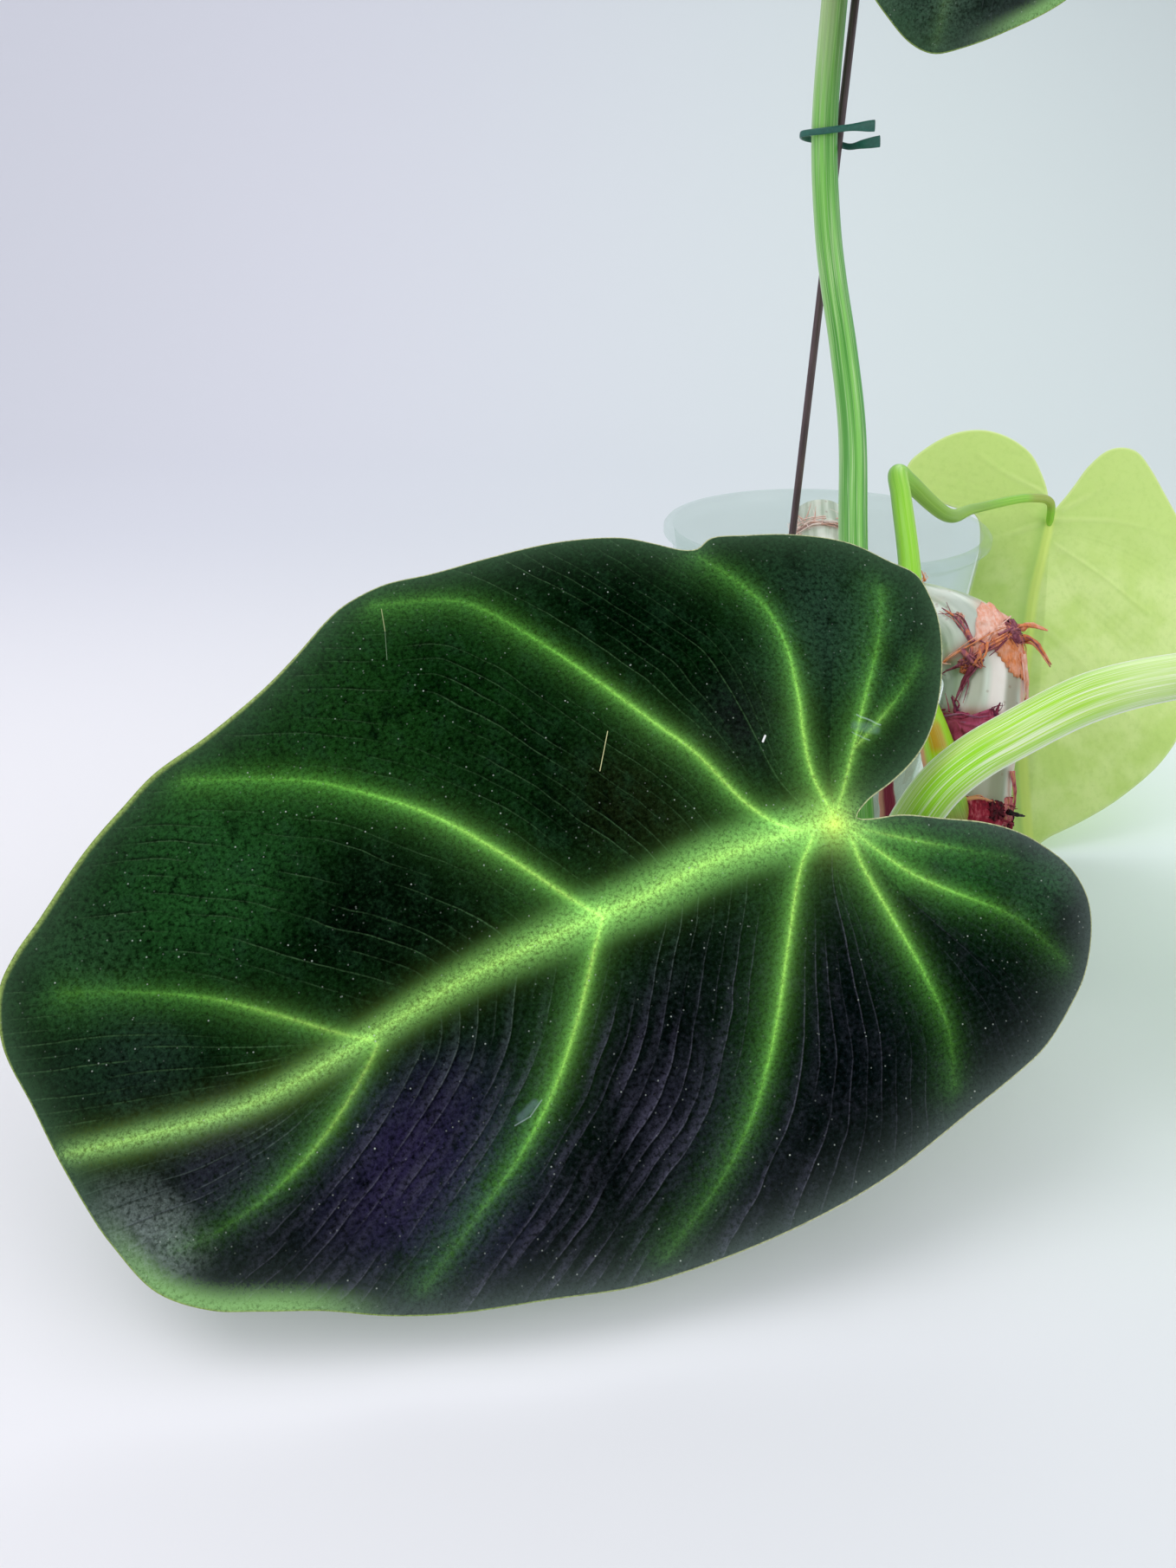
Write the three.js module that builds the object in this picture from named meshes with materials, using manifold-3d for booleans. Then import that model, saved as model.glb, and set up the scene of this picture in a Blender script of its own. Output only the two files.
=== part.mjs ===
// A potted Philodendron luxurians, in millimetres, with +Z up and the origin
// under the middle of the pot.
//
// A clear tapered pot holds pale mineral grit. The creeping stem lies half
// buried in the grit, leaves through a notch in the front wall, bends down
// outside the pot and creeps forward on the surface. Four leaves stand on its
// young end: a large dark one in front, one to the right, one high up that is
// tied to a thin stake, and a pale young one that hangs beside the pot.

import * as THREE from "three";
import Module from "manifold-3d";
import { mergeVertices } from "three/addons/utils/BufferGeometryUtils.js";

const wasm = await Module();
wasm.setup();

// Driving dimensions of the pot and its filling
const POT_HEIGHT = 117;
const RIM_RADIUS = 60;
const BASE_RADIUS = 43;
const POT_WALL = 1.2;
const LIP_WIDTH = 2.5;
const LIP_HEIGHT = 4;
const POT_SIDES = 48;
const DRAIN_HOLES = 6;
const DRAIN_RADIUS = 3.5;
const DRAIN_CIRCLE = 27;
const GRIT_TOP = 84;
const GRIT_LUMPS = 1.6;

// Driving dimensions of the plant
const STEM_RADIUS = 12;
const STEM_SIDES = 14;
const STEM_STEPS = 42;
const PETIOLE_SIDES = 8;
const PETIOLE_STEP = 9;
const BLADE_THICKNESS = 0.9;
const VEIN_DEPTH = 1.6;
const VEIN_SPREAD = 13;
const STAKE_RADIUS = 1.3;
const TIE_WIDTH = 3.2;
const TIE_THICKNESS = 0.8;
const CATAPHYLL_WIDTH = 7;
const CATAPHYLL_THICKNESS = 2.4;
const COLLAR_THICKNESS = 1.1;

// Clear space between pieces that touch on the real plant
const GAP = 0.35;

// How finely the turning of a curve is followed
const FRAME_STEPS = 200;

const toVector = (xyz) => new THREE.Vector3(...xyz);
const curveThrough = (points, closed = false) =>
  new THREE.CatmullRomCurve3(points.map(toVector), closed, "centripetal");

// Small helpers for closed bodies

function middleOf(ring) {
  const sum = ring.reduce((total, point) => total.add(point), new THREE.Vector3());
  return sum.divideScalar(ring.length);
}

// Closes a stack of rings into one body. Each ring turns anticlockwise seen
// from the rings that follow it. From ring `mirrorFrom` on the squares are
// split along their other diagonal, so the two faces of a thin blade match.
function loft(rings, mirrorFrom = rings.length) {
  const sides = rings[0].length;
  const points = [middleOf(rings[0]), ...rings.flat(), middleOf(rings[rings.length - 1])];
  const last = points.length - 1;
  const at = (ring, side) => 1 + ring * sides + (side % sides);
  const index = [];
  for (let side = 0; side < sides; side++) {
    index.push(0, at(0, side + 1), at(0, side));
    index.push(last, at(rings.length - 1, side), at(rings.length - 1, side + 1));
    for (let ring = 0; ring < rings.length - 1; ring++) {
      const [a, b] = [at(ring, side), at(ring, side + 1)];
      const [c, d] = [at(ring + 1, side), at(ring + 1, side + 1)];
      index.push(...(ring < mirrorFrom ? [a, b, c, b, d, c] : [a, b, d, a, d, c]));
    }
  }
  const geometry = new THREE.BufferGeometry().setFromPoints(points);
  geometry.setIndex(index);
  return geometry;
}

// Points round a centre, anticlockwise from `across` to `up`
function ellipse(centre, across, up, acrossRadius, upRadius, sides) {
  return Array.from({ length: sides }, (_, side) => {
    const angle = (2 * Math.PI * side) / sides;
    return centre
      .clone()
      .addScaledVector(across, acrossRadius * Math.cos(angle))
      .addScaledVector(up, upRadius * Math.sin(angle));
  });
}

// A round body along a curve. radiusAt takes the share of the length, 0 to 1.
function sweep(curve, radiusAt, sides, steps, from = 0, to = 1) {
  const { normals, binormals } = curve.computeFrenetFrames(FRAME_STEPS, false);
  const rings = [];
  for (let step = 0; step <= steps; step++) {
    const share = from + ((to - from) * step) / steps;
    const frame = Math.round(share * FRAME_STEPS);
    const radius = radiusAt(share);
    rings.push(ellipse(curve.getPointAt(share), normals[frame], binormals[frame], radius, radius, sides));
  }
  return loft(rings);
}

// A flat body along a curve, its width turned along `wide`
function strip(curve, wide, widthAt, thicknessAt, sides, steps) {
  const rings = [];
  for (let step = 0; step <= steps; step++) {
    const share = step / steps;
    const tangent = curve.getTangentAt(share);
    const across = toVector(wide).projectOnPlane(tangent).normalize();
    const up = new THREE.Vector3().crossVectors(tangent, across);
    const radii = [widthAt(share) / 2, thicknessAt(share) / 2];
    rings.push(ellipse(curve.getPointAt(share), across, up, ...radii, sides));
  }
  return loft(rings);
}

function toSolid(geometry) {
  const bare = geometry.clone();
  bare.deleteAttribute("normal");
  bare.deleteAttribute("uv");
  const merged = mergeVertices(bare, 1e-4);
  const vertProperties = new Float32Array(merged.attributes.position.array);
  const triVerts = new Uint32Array(merged.index.array);
  return new wasm.Manifold(new wasm.Mesh({ numProp: 3, vertProperties, triVerts }));
}

function toGeometry(solid) {
  const mesh = solid.getMesh();
  const geometry = new THREE.BufferGeometry();
  geometry.setAttribute("position", new THREE.BufferAttribute(mesh.vertProperties, 3));
  geometry.setIndex(new THREE.BufferAttribute(mesh.triVerts, 1));
  return geometry;
}

function largestPiece(solid) {
  const pieces = solid.decompose();
  return pieces.reduce((best, piece) => (piece.volume() > best.volume() ? piece : best));
}

// A repeatable stream of numbers from 0 to 1
function seededDraw(seed) {
  let state = seed;
  return () => {
    state = (state * 1664525 + 1013904223) % 4294967296;
    return state / 4294967296;
  };
}

// Scene graph

const plant = new THREE.Group();

function addPiece(name, geometry, { color, roughness, metalness = 0, opacity = 1 }) {
  const material = new THREE.MeshStandardMaterial({
    color,
    roughness,
    metalness,
    opacity,
    transparent: opacity < 1,
    flatShading: true,
  });
  const mesh = new THREE.Mesh(geometry, material);
  mesh.name = name;
  plant.add(mesh);
}

const FINISH = {
  pot: { color: "#dfe6e6", roughness: 0.15, opacity: 0.35 },
  grit: { color: "#e4e0d6", roughness: 0.95 },
  stem: { color: "#a9b8a0", roughness: 0.35 },
  oldFibre: { color: "#b4643e", roughness: 0.9 },
  redFibre: { color: "#7c2a36", roughness: 0.8 },
  cataphyll: { color: "#a8324a", roughness: 0.7 },
  petiole: { color: "#7fc42c", roughness: 0.35 },
  darkBlade: { color: "#12301c", roughness: 0.55 },
  paleBlade: { color: "#b5da6a", roughness: 0.5 },
  stake: { color: "#5a4444", roughness: 0.6 },
  tie: { color: "#1d5b50", roughness: 0.5 },
};

// Stem

// Middle line of the stem: the old end in the pot, the way out through the
// notch, the bend, the hanging stretch and the young end on the surface.
const STEM_LINE = curveThrough([
  [6, 44, 109.5],
  [5, 30, 99],
  [4, 10, 92],
  [3, -20, 92],
  [4, -45, 97],
  [9, -62, 102],
  [20, -79, 105],
  [30, -88, 102.5],
  [34, -95, 94],
  [32.5, -102, 84],
  [30, -110, 69],
  [27.5, -117, 52],
  [22, -123, 35],
  [11, -129, 20],
  [-3, -136, 13],
  [-19, -144, 12.4],
]);

// Shares of the stem's length at which its rings of old leaf bases sit
const STEM_NODES = { stump: 0.05, notch: 0.3, arch: 0.54, upper: 0.62, lower: 0.72, foot: 0.86 };
const NODE_SWELL = 1.1;
const NODE_LENGTH = 0.018;
const STUMP_RADIUS = 10;
const STUMP_SHARE = 0.12;
const BUD_RADIUS = 3.5;
const BUD_SHARE = 0.07;

function stemRadius(share) {
  const thinned = Math.max(0, 1 - share / STUMP_SHARE) * (STEM_RADIUS - STUMP_RADIUS);
  let radius = STEM_RADIUS - thinned;
  for (const node of Object.values(STEM_NODES)) {
    radius += NODE_SWELL * Math.exp(-(((share - node) / NODE_LENGTH) ** 2));
  }
  const toTip = Math.min(1, (1 - share) / BUD_SHARE);
  return BUD_RADIUS + (radius - BUD_RADIUS) * Math.sqrt(toTip);
}

const stemGrownBy = (space) =>
  toSolid(sweep(STEM_LINE, (share) => stemRadius(share) + space, STEM_SIDES, STEM_STEPS));

const stemClearance = stemGrownBy(GAP);
addPiece("stem", sweep(STEM_LINE, stemRadius, STEM_SIDES, STEM_STEPS), FINISH.stem);

// Stake, straight, pushed into the grit and leaning back a little

const STAKE_FOOT = [-20.5, -28.2, 26];
const STAKE_TOP = [-4.3, -2.6, 318];
const STAKE_SIDES = 8;
const STAKE_LINE = curveThrough([STAKE_FOOT, STAKE_TOP]);
const stakeOfRadius = (radius) => sweep(STAKE_LINE, () => radius, STAKE_SIDES, 2);
addPiece("stake", stakeOfRadius(STAKE_RADIUS), FINISH.stake);

// Pot

const wallRadiusAt = (height) =>
  BASE_RADIUS + ((RIM_RADIUS - LIP_WIDTH - BASE_RADIUS) * height) / POT_HEIGHT;

function potProfile() {
  const underLip = POT_HEIGHT - LIP_HEIGHT;
  return [
    [0, 0],
    [BASE_RADIUS, 0],
    [wallRadiusAt(underLip), underLip],
    [RIM_RADIUS, underLip],
    [RIM_RADIUS, POT_HEIGHT],
    [wallRadiusAt(POT_HEIGHT) - POT_WALL, POT_HEIGHT],
    [wallRadiusAt(POT_WALL) - POT_WALL, POT_WALL],
    [0, POT_WALL],
  ].map(([radius, height]) => new THREE.Vector2(radius, height));
}

// The notch is round below, as wide as the stem needs, and open to the rim
const NOTCH_MIDDLE = [6, -57, 99];
const NOTCH_HALF_WIDTH = STEM_RADIUS + 4;
const NOTCH_DEPTH = 40;

function notchCutter() {
  const outline = new THREE.Shape();
  outline.moveTo(-NOTCH_HALF_WIDTH, POT_HEIGHT);
  outline.lineTo(-NOTCH_HALF_WIDTH, 0);
  outline.absarc(0, 0, NOTCH_HALF_WIDTH, Math.PI, 2 * Math.PI, false);
  outline.lineTo(NOTCH_HALF_WIDTH, POT_HEIGHT);
  const cutter = new THREE.ExtrudeGeometry(outline, {
    depth: NOTCH_DEPTH,
    bevelEnabled: false,
    curveSegments: 8,
  });
  cutter.translate(0, 0, -NOTCH_DEPTH / 2);
  cutter.rotateX(Math.PI / 2);
  cutter.translate(...NOTCH_MIDDLE);
  return cutter;
}

const DRAIN_SIDES = 10;

function drainCutter(hole) {
  const angle = (2 * Math.PI * hole) / DRAIN_HOLES;
  const cutter = new THREE.CylinderGeometry(DRAIN_RADIUS, DRAIN_RADIUS, 4 * POT_WALL, DRAIN_SIDES);
  cutter.rotateX(Math.PI / 2);
  cutter.translate(DRAIN_CIRCLE * Math.cos(angle), DRAIN_CIRCLE * Math.sin(angle), POT_WALL / 2);
  return cutter;
}

function potBody() {
  const shell = new THREE.LatheGeometry(potProfile(), POT_SIDES);
  shell.rotateX(Math.PI / 2);
  let pot = toSolid(shell).subtract(toSolid(notchCutter()));
  for (let hole = 0; hole < DRAIN_HOLES; hole++) {
    pot = pot.subtract(toSolid(drainCutter(hole)));
  }
  return toGeometry(pot);
}

addPiece("pot", potBody(), FINISH.pot);

// Grit, with a lumpy top, a trench for the stem and a hole for the stake

function lumpHeight(x, y) {
  const coarse = Math.sin(x * 0.31 + 1.3) * Math.cos(y * 0.27 - 0.4);
  const fine = Math.sin(x * 0.72 - y * 0.55) * Math.cos(y * 0.81 + x * 0.18);
  return GRIT_LUMPS * (coarse + 0.6 * fine);
}

const GRIT_SIDES = 40;
const GRIT_TOP_RINGS = 7;
const GRIT_EDGE = GRIT_TOP - 4;

function gritRing(radius, heightAt) {
  const [right, ahead] = [new THREE.Vector3(1, 0, 0), new THREE.Vector3(0, 1, 0)];
  const flat = ellipse(new THREE.Vector3(), right, ahead, radius, radius, GRIT_SIDES);
  return flat.map((point) => point.setZ(heightAt(point.x, point.y)));
}

function gritBody() {
  const insideAt = (height) => wallRadiusAt(height) - POT_WALL - GAP;
  const bottom = POT_WALL + GAP;
  const layers = [
    [0.5 * insideAt(bottom), bottom],
    [insideAt(bottom), bottom],
    [insideAt(GRIT_EDGE), GRIT_EDGE],
  ];
  const rings = layers.map(([radius, height]) => gritRing(radius, () => height));
  for (let step = 0; step < GRIT_TOP_RINGS; step++) {
    const radius = insideAt(GRIT_EDGE) * (1 - step / GRIT_TOP_RINGS) - GAP;
    rings.push(gritRing(radius, (x, y) => GRIT_TOP + lumpHeight(x, y)));
  }
  const filled = toSolid(loft(rings));
  const stakeHole = toSolid(stakeOfRadius(STAKE_RADIUS + GAP));
  return toGeometry(largestPiece(filled.subtract(stemClearance).subtract(stakeHole)));
}

addPiece("grit", gritBody(), FINISH.grit);

// Leaf blades
//
// A blade is drawn flat, in millimetres along its midrib from the petiole and
// across it, and then bent. Its upper face bulges between the main veins.

// The large front leaf, from the notch between its lobes round to the tip and
// back. The first half is the lobe that stands up behind.
const FRONT_OUTLINE = [
  [-1, -1], [-5, -3.5], [-13, -5.5], [-20, -8], [-26, -11.5], [-32.5, -17.5], [-39, -26],
  [-44, -35.5], [-46.5, -45], [-46.5, -52.5], [-42, -58.5], [-34.5, -67], [-21, -75], [-11, -79],
  [-2, -82], [2.5, -80.5], [6, -81.5], [12.5, -86], [19.5, -90.5], [34.5, -95.5], [53.5, -98.5],
  [67, -100], [80, -102], [90, -100.5], [95.5, -98], [106.5, -91], [117, -85.5], [132, -80],
  [146.5, -76], [156, -70.5], [166.5, -64], [180.5, -53], [188.5, -47], [193.5, -41], [196, -29.5],
  [194, -15], [192.5, -2], [190, 10], [187.5, 19.5], [182.5, 32], [173.5, 40], [164, 44.5],
  [151.5, 50], [140, 56.5], [128.5, 61.5], [106.5, 68], [88.5, 73.5], [71, 76], [48.5, 77],
  [29, 76], [11.5, 73], [-9.5, 68.5], [-20, 65.5], [-29.5, 60.5], [-38, 54.5], [-44, 46],
  [-46.5, 38], [-45.5, 30], [-42.5, 24], [-38, 18], [-31, 12.5], [-20.5, 7], [-11.5, 2.5], [-4, 0.5],
];
const FRONT_VEINS = [
  [
    [0, 0], [9.5, -3], [18.5, -4], [36.5, -5], [54.5, -3.5], [72, -3.5], [98, -2.5], [119.5, 0.5],
    [136.5, 3], [160, 1.5], [191, -1.5],
  ],
  [[2.5, -4.5], [-2, -9.5], [-8, -16.5], [-17, -27], [-24.5, -35.5], [-30.5, -43], [-35.5, -51.5]],
  [[-8, -16.5], [-14, -19], [-20.5, -22], [-28, -26], [-34.5, -30.5]],
  [[4, -4], [4.5, -10], [4, -16.5], [1.5, -25], [-2, -34.5], [-5.5, -48.5], [-5, -61], [3.5, -79]],
  [
    [15, -4.5], [18.5, -8], [22.5, -14.5], [28.5, -31], [33.5, -40], [42, -56], [51, -72],
    [61.5, -87.5], [68, -92], [84, -97.5],
  ],
  [[65.5, -4], [69.5, -9.5], [80, -25.5], [91, -40], [103.5, -51.5], [114.5, -59.5], [140.5, -71.5]],
  [[122, 2], [127, -1.5], [138.5, -11], [151, -20.5], [164.5, -28], [180.5, -35]],
  [[-1, 2], [-9, 7.5], [-20, 14.5], [-31.5, 21.5]],
  [[1.5, 1.5], [-2.5, 8.5], [-7, 15.5], [-12.5, 21.5], [-24.5, 32.5], [-29, 38], [-34.5, 49.5]],
  [[2.5, 3], [3, 9.5], [1.5, 24.5], [0, 38.5], [0, 52.5], [4, 64.5]],
  [[11.5, -0.5], [17, 4.5], [28.5, 21], [38.5, 36], [50, 50], [62, 60], [80.5, 70.5]],
  [[64, -3.5], [68.5, 2], [77.5, 14], [88.5, 26.5], [101, 37], [115, 45.5], [130.5, 54.5]],
  [[121.5, 3.5], [126, 7.5], [138.5, 16.5], [153, 23], [167, 26], [175.5, 26]],
];

// A regular grown leaf, used for the right and the high leaf
const GROWN_HALF = [
  [-3, 1.5], [-12, 4], [-28, 9], [-42, 20], [-50, 38], [-44, 58], [-25, 74], [5, 84],
  [40, 88], [75, 84], [110, 72], [140, 54], [165, 35], [178, 22], [186, 9],
];
const GROWN_OUTLINE = bothSides([-1, 0], GROWN_HALF, [189, 0]);
const GROWN_SIDE_VEINS = [
  [[0, 3], [-16, 18], [-30, 36], [-36, 52]],
  [[4, 5], [1, 24], [-2, 45], [2, 66]],
  [[15, 2], [28, 24], [45, 50], [64, 72]],
  [[58, 2], [74, 20], [96, 42], [118, 56]],
  [[104, 1], [118, 12], [137, 27], [155, 34]],
];
const GROWN_MIDRIB = [[0, 0], [60, 0], [120, 0], [186, 0]];
const GROWN_VEINS = [GROWN_MIDRIB, ...GROWN_SIDE_VEINS, ...mirrored(GROWN_SIDE_VEINS)];

// The high leaf is a grown one whose tip leans a little to one side
const HIGH_TIP = [
  [165, -32], [178, -18.5], [185.2, -8.5], [187.3, 0], [184.6, 9], [178, 22], [165, 39.5], [140, 57],
];
const HIGH_OUTLINE = [
  [-1, 0], ...mirrored([GROWN_HALF.slice(0, -3)])[0], ...HIGH_TIP, ...GROWN_HALF.slice(0, -4).reverse(),
];

// The pale young leaf, whose outer half is folded back
const PALE_OUTLINE = [
  [-1, 0.5], [-6, -4], [-12, -8], [-20, -13], [-27, -20], [-29, -26], [-28, -32],
  [-22, -38], [-6, -49], [5, -56], [23, -63], [46, -66], [71, -61], [92, -50], [108, -34],
  [118, -20], [125, -8], [130, 0], [123, 8], [108, 16], [87, 22], [62, 25], [41, 26],
  [24, 25], [11, 25], [1, 28], [-3, 38], [-9, 50], [-15, 55], [-21, 54], [-26, 49],
  [-31, 41], [-33, 34], [-33, 26], [-30, 17], [-24, 9], [-17, 5], [-9, 2],
];
const PALE_VEINS = [
  [[0, 0], [16, 2], [32, 4], [80, 5], [104, 3], [129, 0]],
  [[2, -1], [1, -27], [4, -48]],
  [[12, -2], [21, -18], [36, -41]],
  [[42, 3], [56, -14], [74, -32], [84, -50]],
  [[-2, -4], [-15, -24]],
  [[4, 4], [8, 14], [12, 23]],
  [[-8, 3], [-16, 19], [-23, 29]],
];

function mirrored(lines) {
  return lines.map((line) => line.map(([along, across]) => [along, -across]));
}

function bothSides(start, half, tip) {
  const [otherHalf] = mirrored([half]);
  return [start, ...otherHalf, tip, ...[...half].reverse()];
}

const easeBetween = (low, high, value) => THREE.MathUtils.smoothstep(value, low, high);

const LEAVES = {
  front: {
    junction: [-25, -190, 93],
    tipward: [-168, -65, -42],
    facing: [0.13, -0.75, 0.65],
    scale: 1,
    outline: FRONT_OUTLINE,
    veins: FRONT_VEINS,
    hub: [10, -1.5],
    marginSteps: 72,
    rings: 9,
    bend: (along, across) => -0.0013 * across ** 2 - 0.0004 * along ** 2,
    finish: FINISH.darkBlade,
  },
  right: {
    junction: [121, -156, 121],
    tipward: [0.8, -0.12, -0.58],
    facing: [0.45, -0.35, 0.82],
    scale: 0.8,
    outline: GROWN_OUTLINE,
    veins: GROWN_VEINS,
    hub: [10, 0],
    marginSteps: 40,
    rings: 6,
    bend: (along, across) => -0.002 * across ** 2 - 0.0006 * along ** 2,
    finish: FINISH.darkBlade,
  },
  high: {
    junction: [34, -26, 408],
    tipward: [-27, -29, -147],
    facing: [-0.15, -0.93, 0.33],
    scale: 0.81,
    outline: HIGH_OUTLINE,
    veins: GROWN_VEINS,
    hub: [10, 0],
    marginSteps: 54,
    rings: 6,
    bend: (along, across) => -0.002 * across ** 2,
    finish: FINISH.darkBlade,
  },
  pale: {
    junction: [92, 20.7, 115.5],
    tipward: [-11, -63, -113],
    facing: [0.1, 0.9, -0.42],
    scale: 1,
    outline: PALE_OUTLINE,
    veins: PALE_VEINS,
    hub: [9, 0],
    marginSteps: 54,
    rings: 6,
    bend: (along, across) =>
      0.003 * across ** 2 + 0.7 * easeBetween(0, 35, along) * Math.max(across, 0),
    finish: FINISH.paleBlade,
  },
};

function distanceToLine([x, y], line) {
  let nearest = Infinity;
  for (let step = 0; step < line.length - 1; step++) {
    const [[ax, ay], [bx, by]] = [line[step], line[step + 1]];
    const lengthSquared = (bx - ax) ** 2 + (by - ay) ** 2;
    const share = ((x - ax) * (bx - ax) + (y - ay) * (by - ay)) / lengthSquared;
    const held = THREE.MathUtils.clamp(share, 0, 1);
    nearest = Math.min(nearest, Math.hypot(x - ax - held * (bx - ax), y - ay - held * (by - ay)));
  }
  return nearest;
}

// Height of the blade over its flat drawing, in the drawing's own scale: the
// overall bend, and a soft bulge between the sunken veins
function bladeHeight(leaf, [along, across]) {
  const toVein = Math.min(...leaf.veins.map((vein) => distanceToLine([along, across], vein)));
  const bulge = VEIN_DEPTH * (1 - Math.exp(-((toVein / VEIN_SPREAD) ** 2)));
  return leaf.bend(along, across) + bulge;
}

function leafAxes(leaf) {
  const tipward = toVector(leaf.tipward).normalize();
  const facing = toVector(leaf.facing).projectOnPlane(tipward).normalize();
  return { tipward, facing, sideways: new THREE.Vector3().crossVectors(facing, tipward) };
}

function pointOnBlade(leaf, [along, across], lift = 0) {
  const { tipward, facing, sideways } = leafAxes(leaf);
  return toVector(leaf.junction)
    .addScaledVector(tipward, leaf.scale * along)
    .addScaledVector(sideways, leaf.scale * across)
    .addScaledVector(facing, leaf.scale * bladeHeight(leaf, [along, across]) + lift);
}

// Direction straight out of the upper face
function bladeNormal(leaf, [along, across], reach = 3) {
  const ahead = pointOnBlade(leaf, [along + reach, across]);
  const behind = pointOnBlade(leaf, [along - reach, across]);
  const left = pointOnBlade(leaf, [along, across + reach]);
  const right = pointOnBlade(leaf, [along, across - reach]);
  return ahead.sub(behind).cross(left.sub(right)).normalize();
}

function bladeBody(leaf, thickness = BLADE_THICKNESS) {
  const flatPoints = leaf.outline.map(([along, across]) => [along, across, 0]);
  const margin = curveThrough(flatPoints, true).getSpacedPoints(leaf.marginSteps).slice(0, -1);
  const [hubAlong, hubAcross] = leaf.hub;
  const skin = (offset) => {
    const rings = [];
    for (let ring = 1; ring <= leaf.rings; ring++) {
      const share = ring / leaf.rings;
      rings.push(
        margin.map((point) => {
          const flat = [hubAlong + (point.x - hubAlong) * share, hubAcross + (point.y - hubAcross) * share];
          return pointOnBlade(leaf, flat).addScaledVector(bladeNormal(leaf, flat), offset);
        }),
      );
    }
    return rings;
  };
  const back = skin(-thickness / 2);
  const face = skin(thickness / 2).reverse();
  return loft([...back, ...face], leaf.rings);
}

for (const [name, leaf] of Object.entries(LEAVES)) {
  addPiece(`blade_${name}`, bladeBody(leaf), leaf.finish);
}

// Petioles
//
// Each starts inside the stem and ends inside its blade, and is then trimmed
// clear of both. Radii run from the foot to the blade.

const PETIOLES = {
  front: {
    through: [[-13, -141, 14], [-20, -151, 34], [-27, -165, 58], [-31, -178, 77], [-30.6, -186, 86.6]],
    radii: [[0, 6.5], [0.2, 4.8], [1, 3.4]],
    arrival: [5, 0],
  },
  right: {
    through: [
      [-3, -138, 14], [-4.5, -149, 38], [-6.5, -160, 62], [-4, -170, 84.5], [1.1, -169.5, 93],
      [8.9, -167.5, 99.4], [17.3, -166, 104.3], [37.4, -163, 114.2], [57.6, -162.8, 119.6],
      [85, -161, 121], [108, -157, 119],
    ],
    radii: [[0, 7], [0.2, 5.9], [0.6, 6.3], [0.85, 5], [1, 4]],
    arrival: [4, 0],
  },
  high: {
    through: [
      [1, -133, 15], [-3, -123, 36], [-5.8, -115, 58], [-5, -92, 95], [-4.6, -68.3, 130],
      [-3.4, -46.5, 158.8], [-5.6, -31.5, 182.4], [-9.1, -22.5, 202.5], [-11.4, -18.4, 217.1],
      [-14, -13.7, 243.8], [-13.5, -10, 280], [-12, -9, 320], [-2, -6, 362], [14, -4, 392],
      [30, -12, 411],
    ],
    radii: [[0, 6.2], [0.15, 4.8], [0.5, 4.2], [1, 3.4]],
    arrival: [4, 0],
  },
  pale: {
    through: [
      [27, -119, 50], [20, -124.5, 63], [15.5, -117, 80], [10.5, -97, 100], [13, -75, 120],
      [13.4, -52, 139], [14.5, -41, 144], [20, -36, 140], [35.1, -32.2, 128.3], [49.5, -16, 126.5],
      [77.2, 5.2, 125.5], [87, 11.5, 122.5],
    ],
    radii: [[0, 5], [0.13, 5.2], [0.22, 3.6], [0.55, 3.2], [0.68, 2.4], [0.77, 1.7], [1, 1.5]],
    arrival: [4, 0.5],
  },
};

// Value at a share of the length, from a list of [share, value]
function valueAt(stops, share) {
  const next = Math.max(1, stops.findIndex(([stop]) => stop >= share));
  const [[low, first], [high, second]] = [stops[next - 1], stops[next]];
  return THREE.MathUtils.mapLinear(share, low, high, first, second);
}

function petioleSolid(leaf, { through, radii, arrival }, space = 0) {
  const end = pointOnBlade(leaf, arrival);
  const curve = curveThrough([...through, end.toArray()]);
  const steps = Math.round(curve.getLength() / PETIOLE_STEP);
  return toSolid(sweep(curve, (share) => valueAt(radii, share) + space, PETIOLE_SIDES, steps));
}

function petioleBody(leaf, petiole) {
  const bladeClearance = toSolid(bladeBody(leaf, BLADE_THICKNESS + 2 * GAP));
  return largestPiece(petioleSolid(leaf, petiole).subtract(stemClearance).subtract(bladeClearance));
}

for (const [name, petiole] of Object.entries(PETIOLES)) {
  addPiece(`petiole_${name}`, toGeometry(petioleBody(LEAVES[name], petiole)), FINISH.petiole);
}

// Old leaf bases: a collar round the stem at a node, with ragged strands
//
// The middle line of a strand is given as [share of the stem's length, degrees
// round the stem from its right-hand side, height over lying on the stem].

const STRAND_SIDES = 3;
const STRAND_STEPS = 3;
const STRAND_TAPER = 0.75;
const FIBRE_GAP = GAP + 0.25;

function strandBody({ path, radius }) {
  const points = path.map(([share, degrees, height]) => {
    const tangent = STEM_LINE.getTangentAt(share);
    const outward = new THREE.Vector3(1, 0, 0).projectOnPlane(tangent).normalize();
    outward.applyAxisAngle(tangent, THREE.MathUtils.degToRad(degrees));
    const fromMiddle = stemRadius(share) + FIBRE_GAP + radius + height;
    return STEM_LINE.getPointAt(share).addScaledVector(outward, fromMiddle);
  });
  const curve = new THREE.CatmullRomCurve3(points, false, "centripetal");
  const radiusAt = (share) => radius * (1 - STRAND_TAPER * share);
  return toSolid(sweep(curve, radiusAt, STRAND_SIDES, STRAND_STEPS));
}

// Short strands all round a collar, each with its own lean and length
const FRINGE = { lean: 40, lift: 3, arch: 0.4, thinnest: 0.6, thickest: 0.9 };

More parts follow.
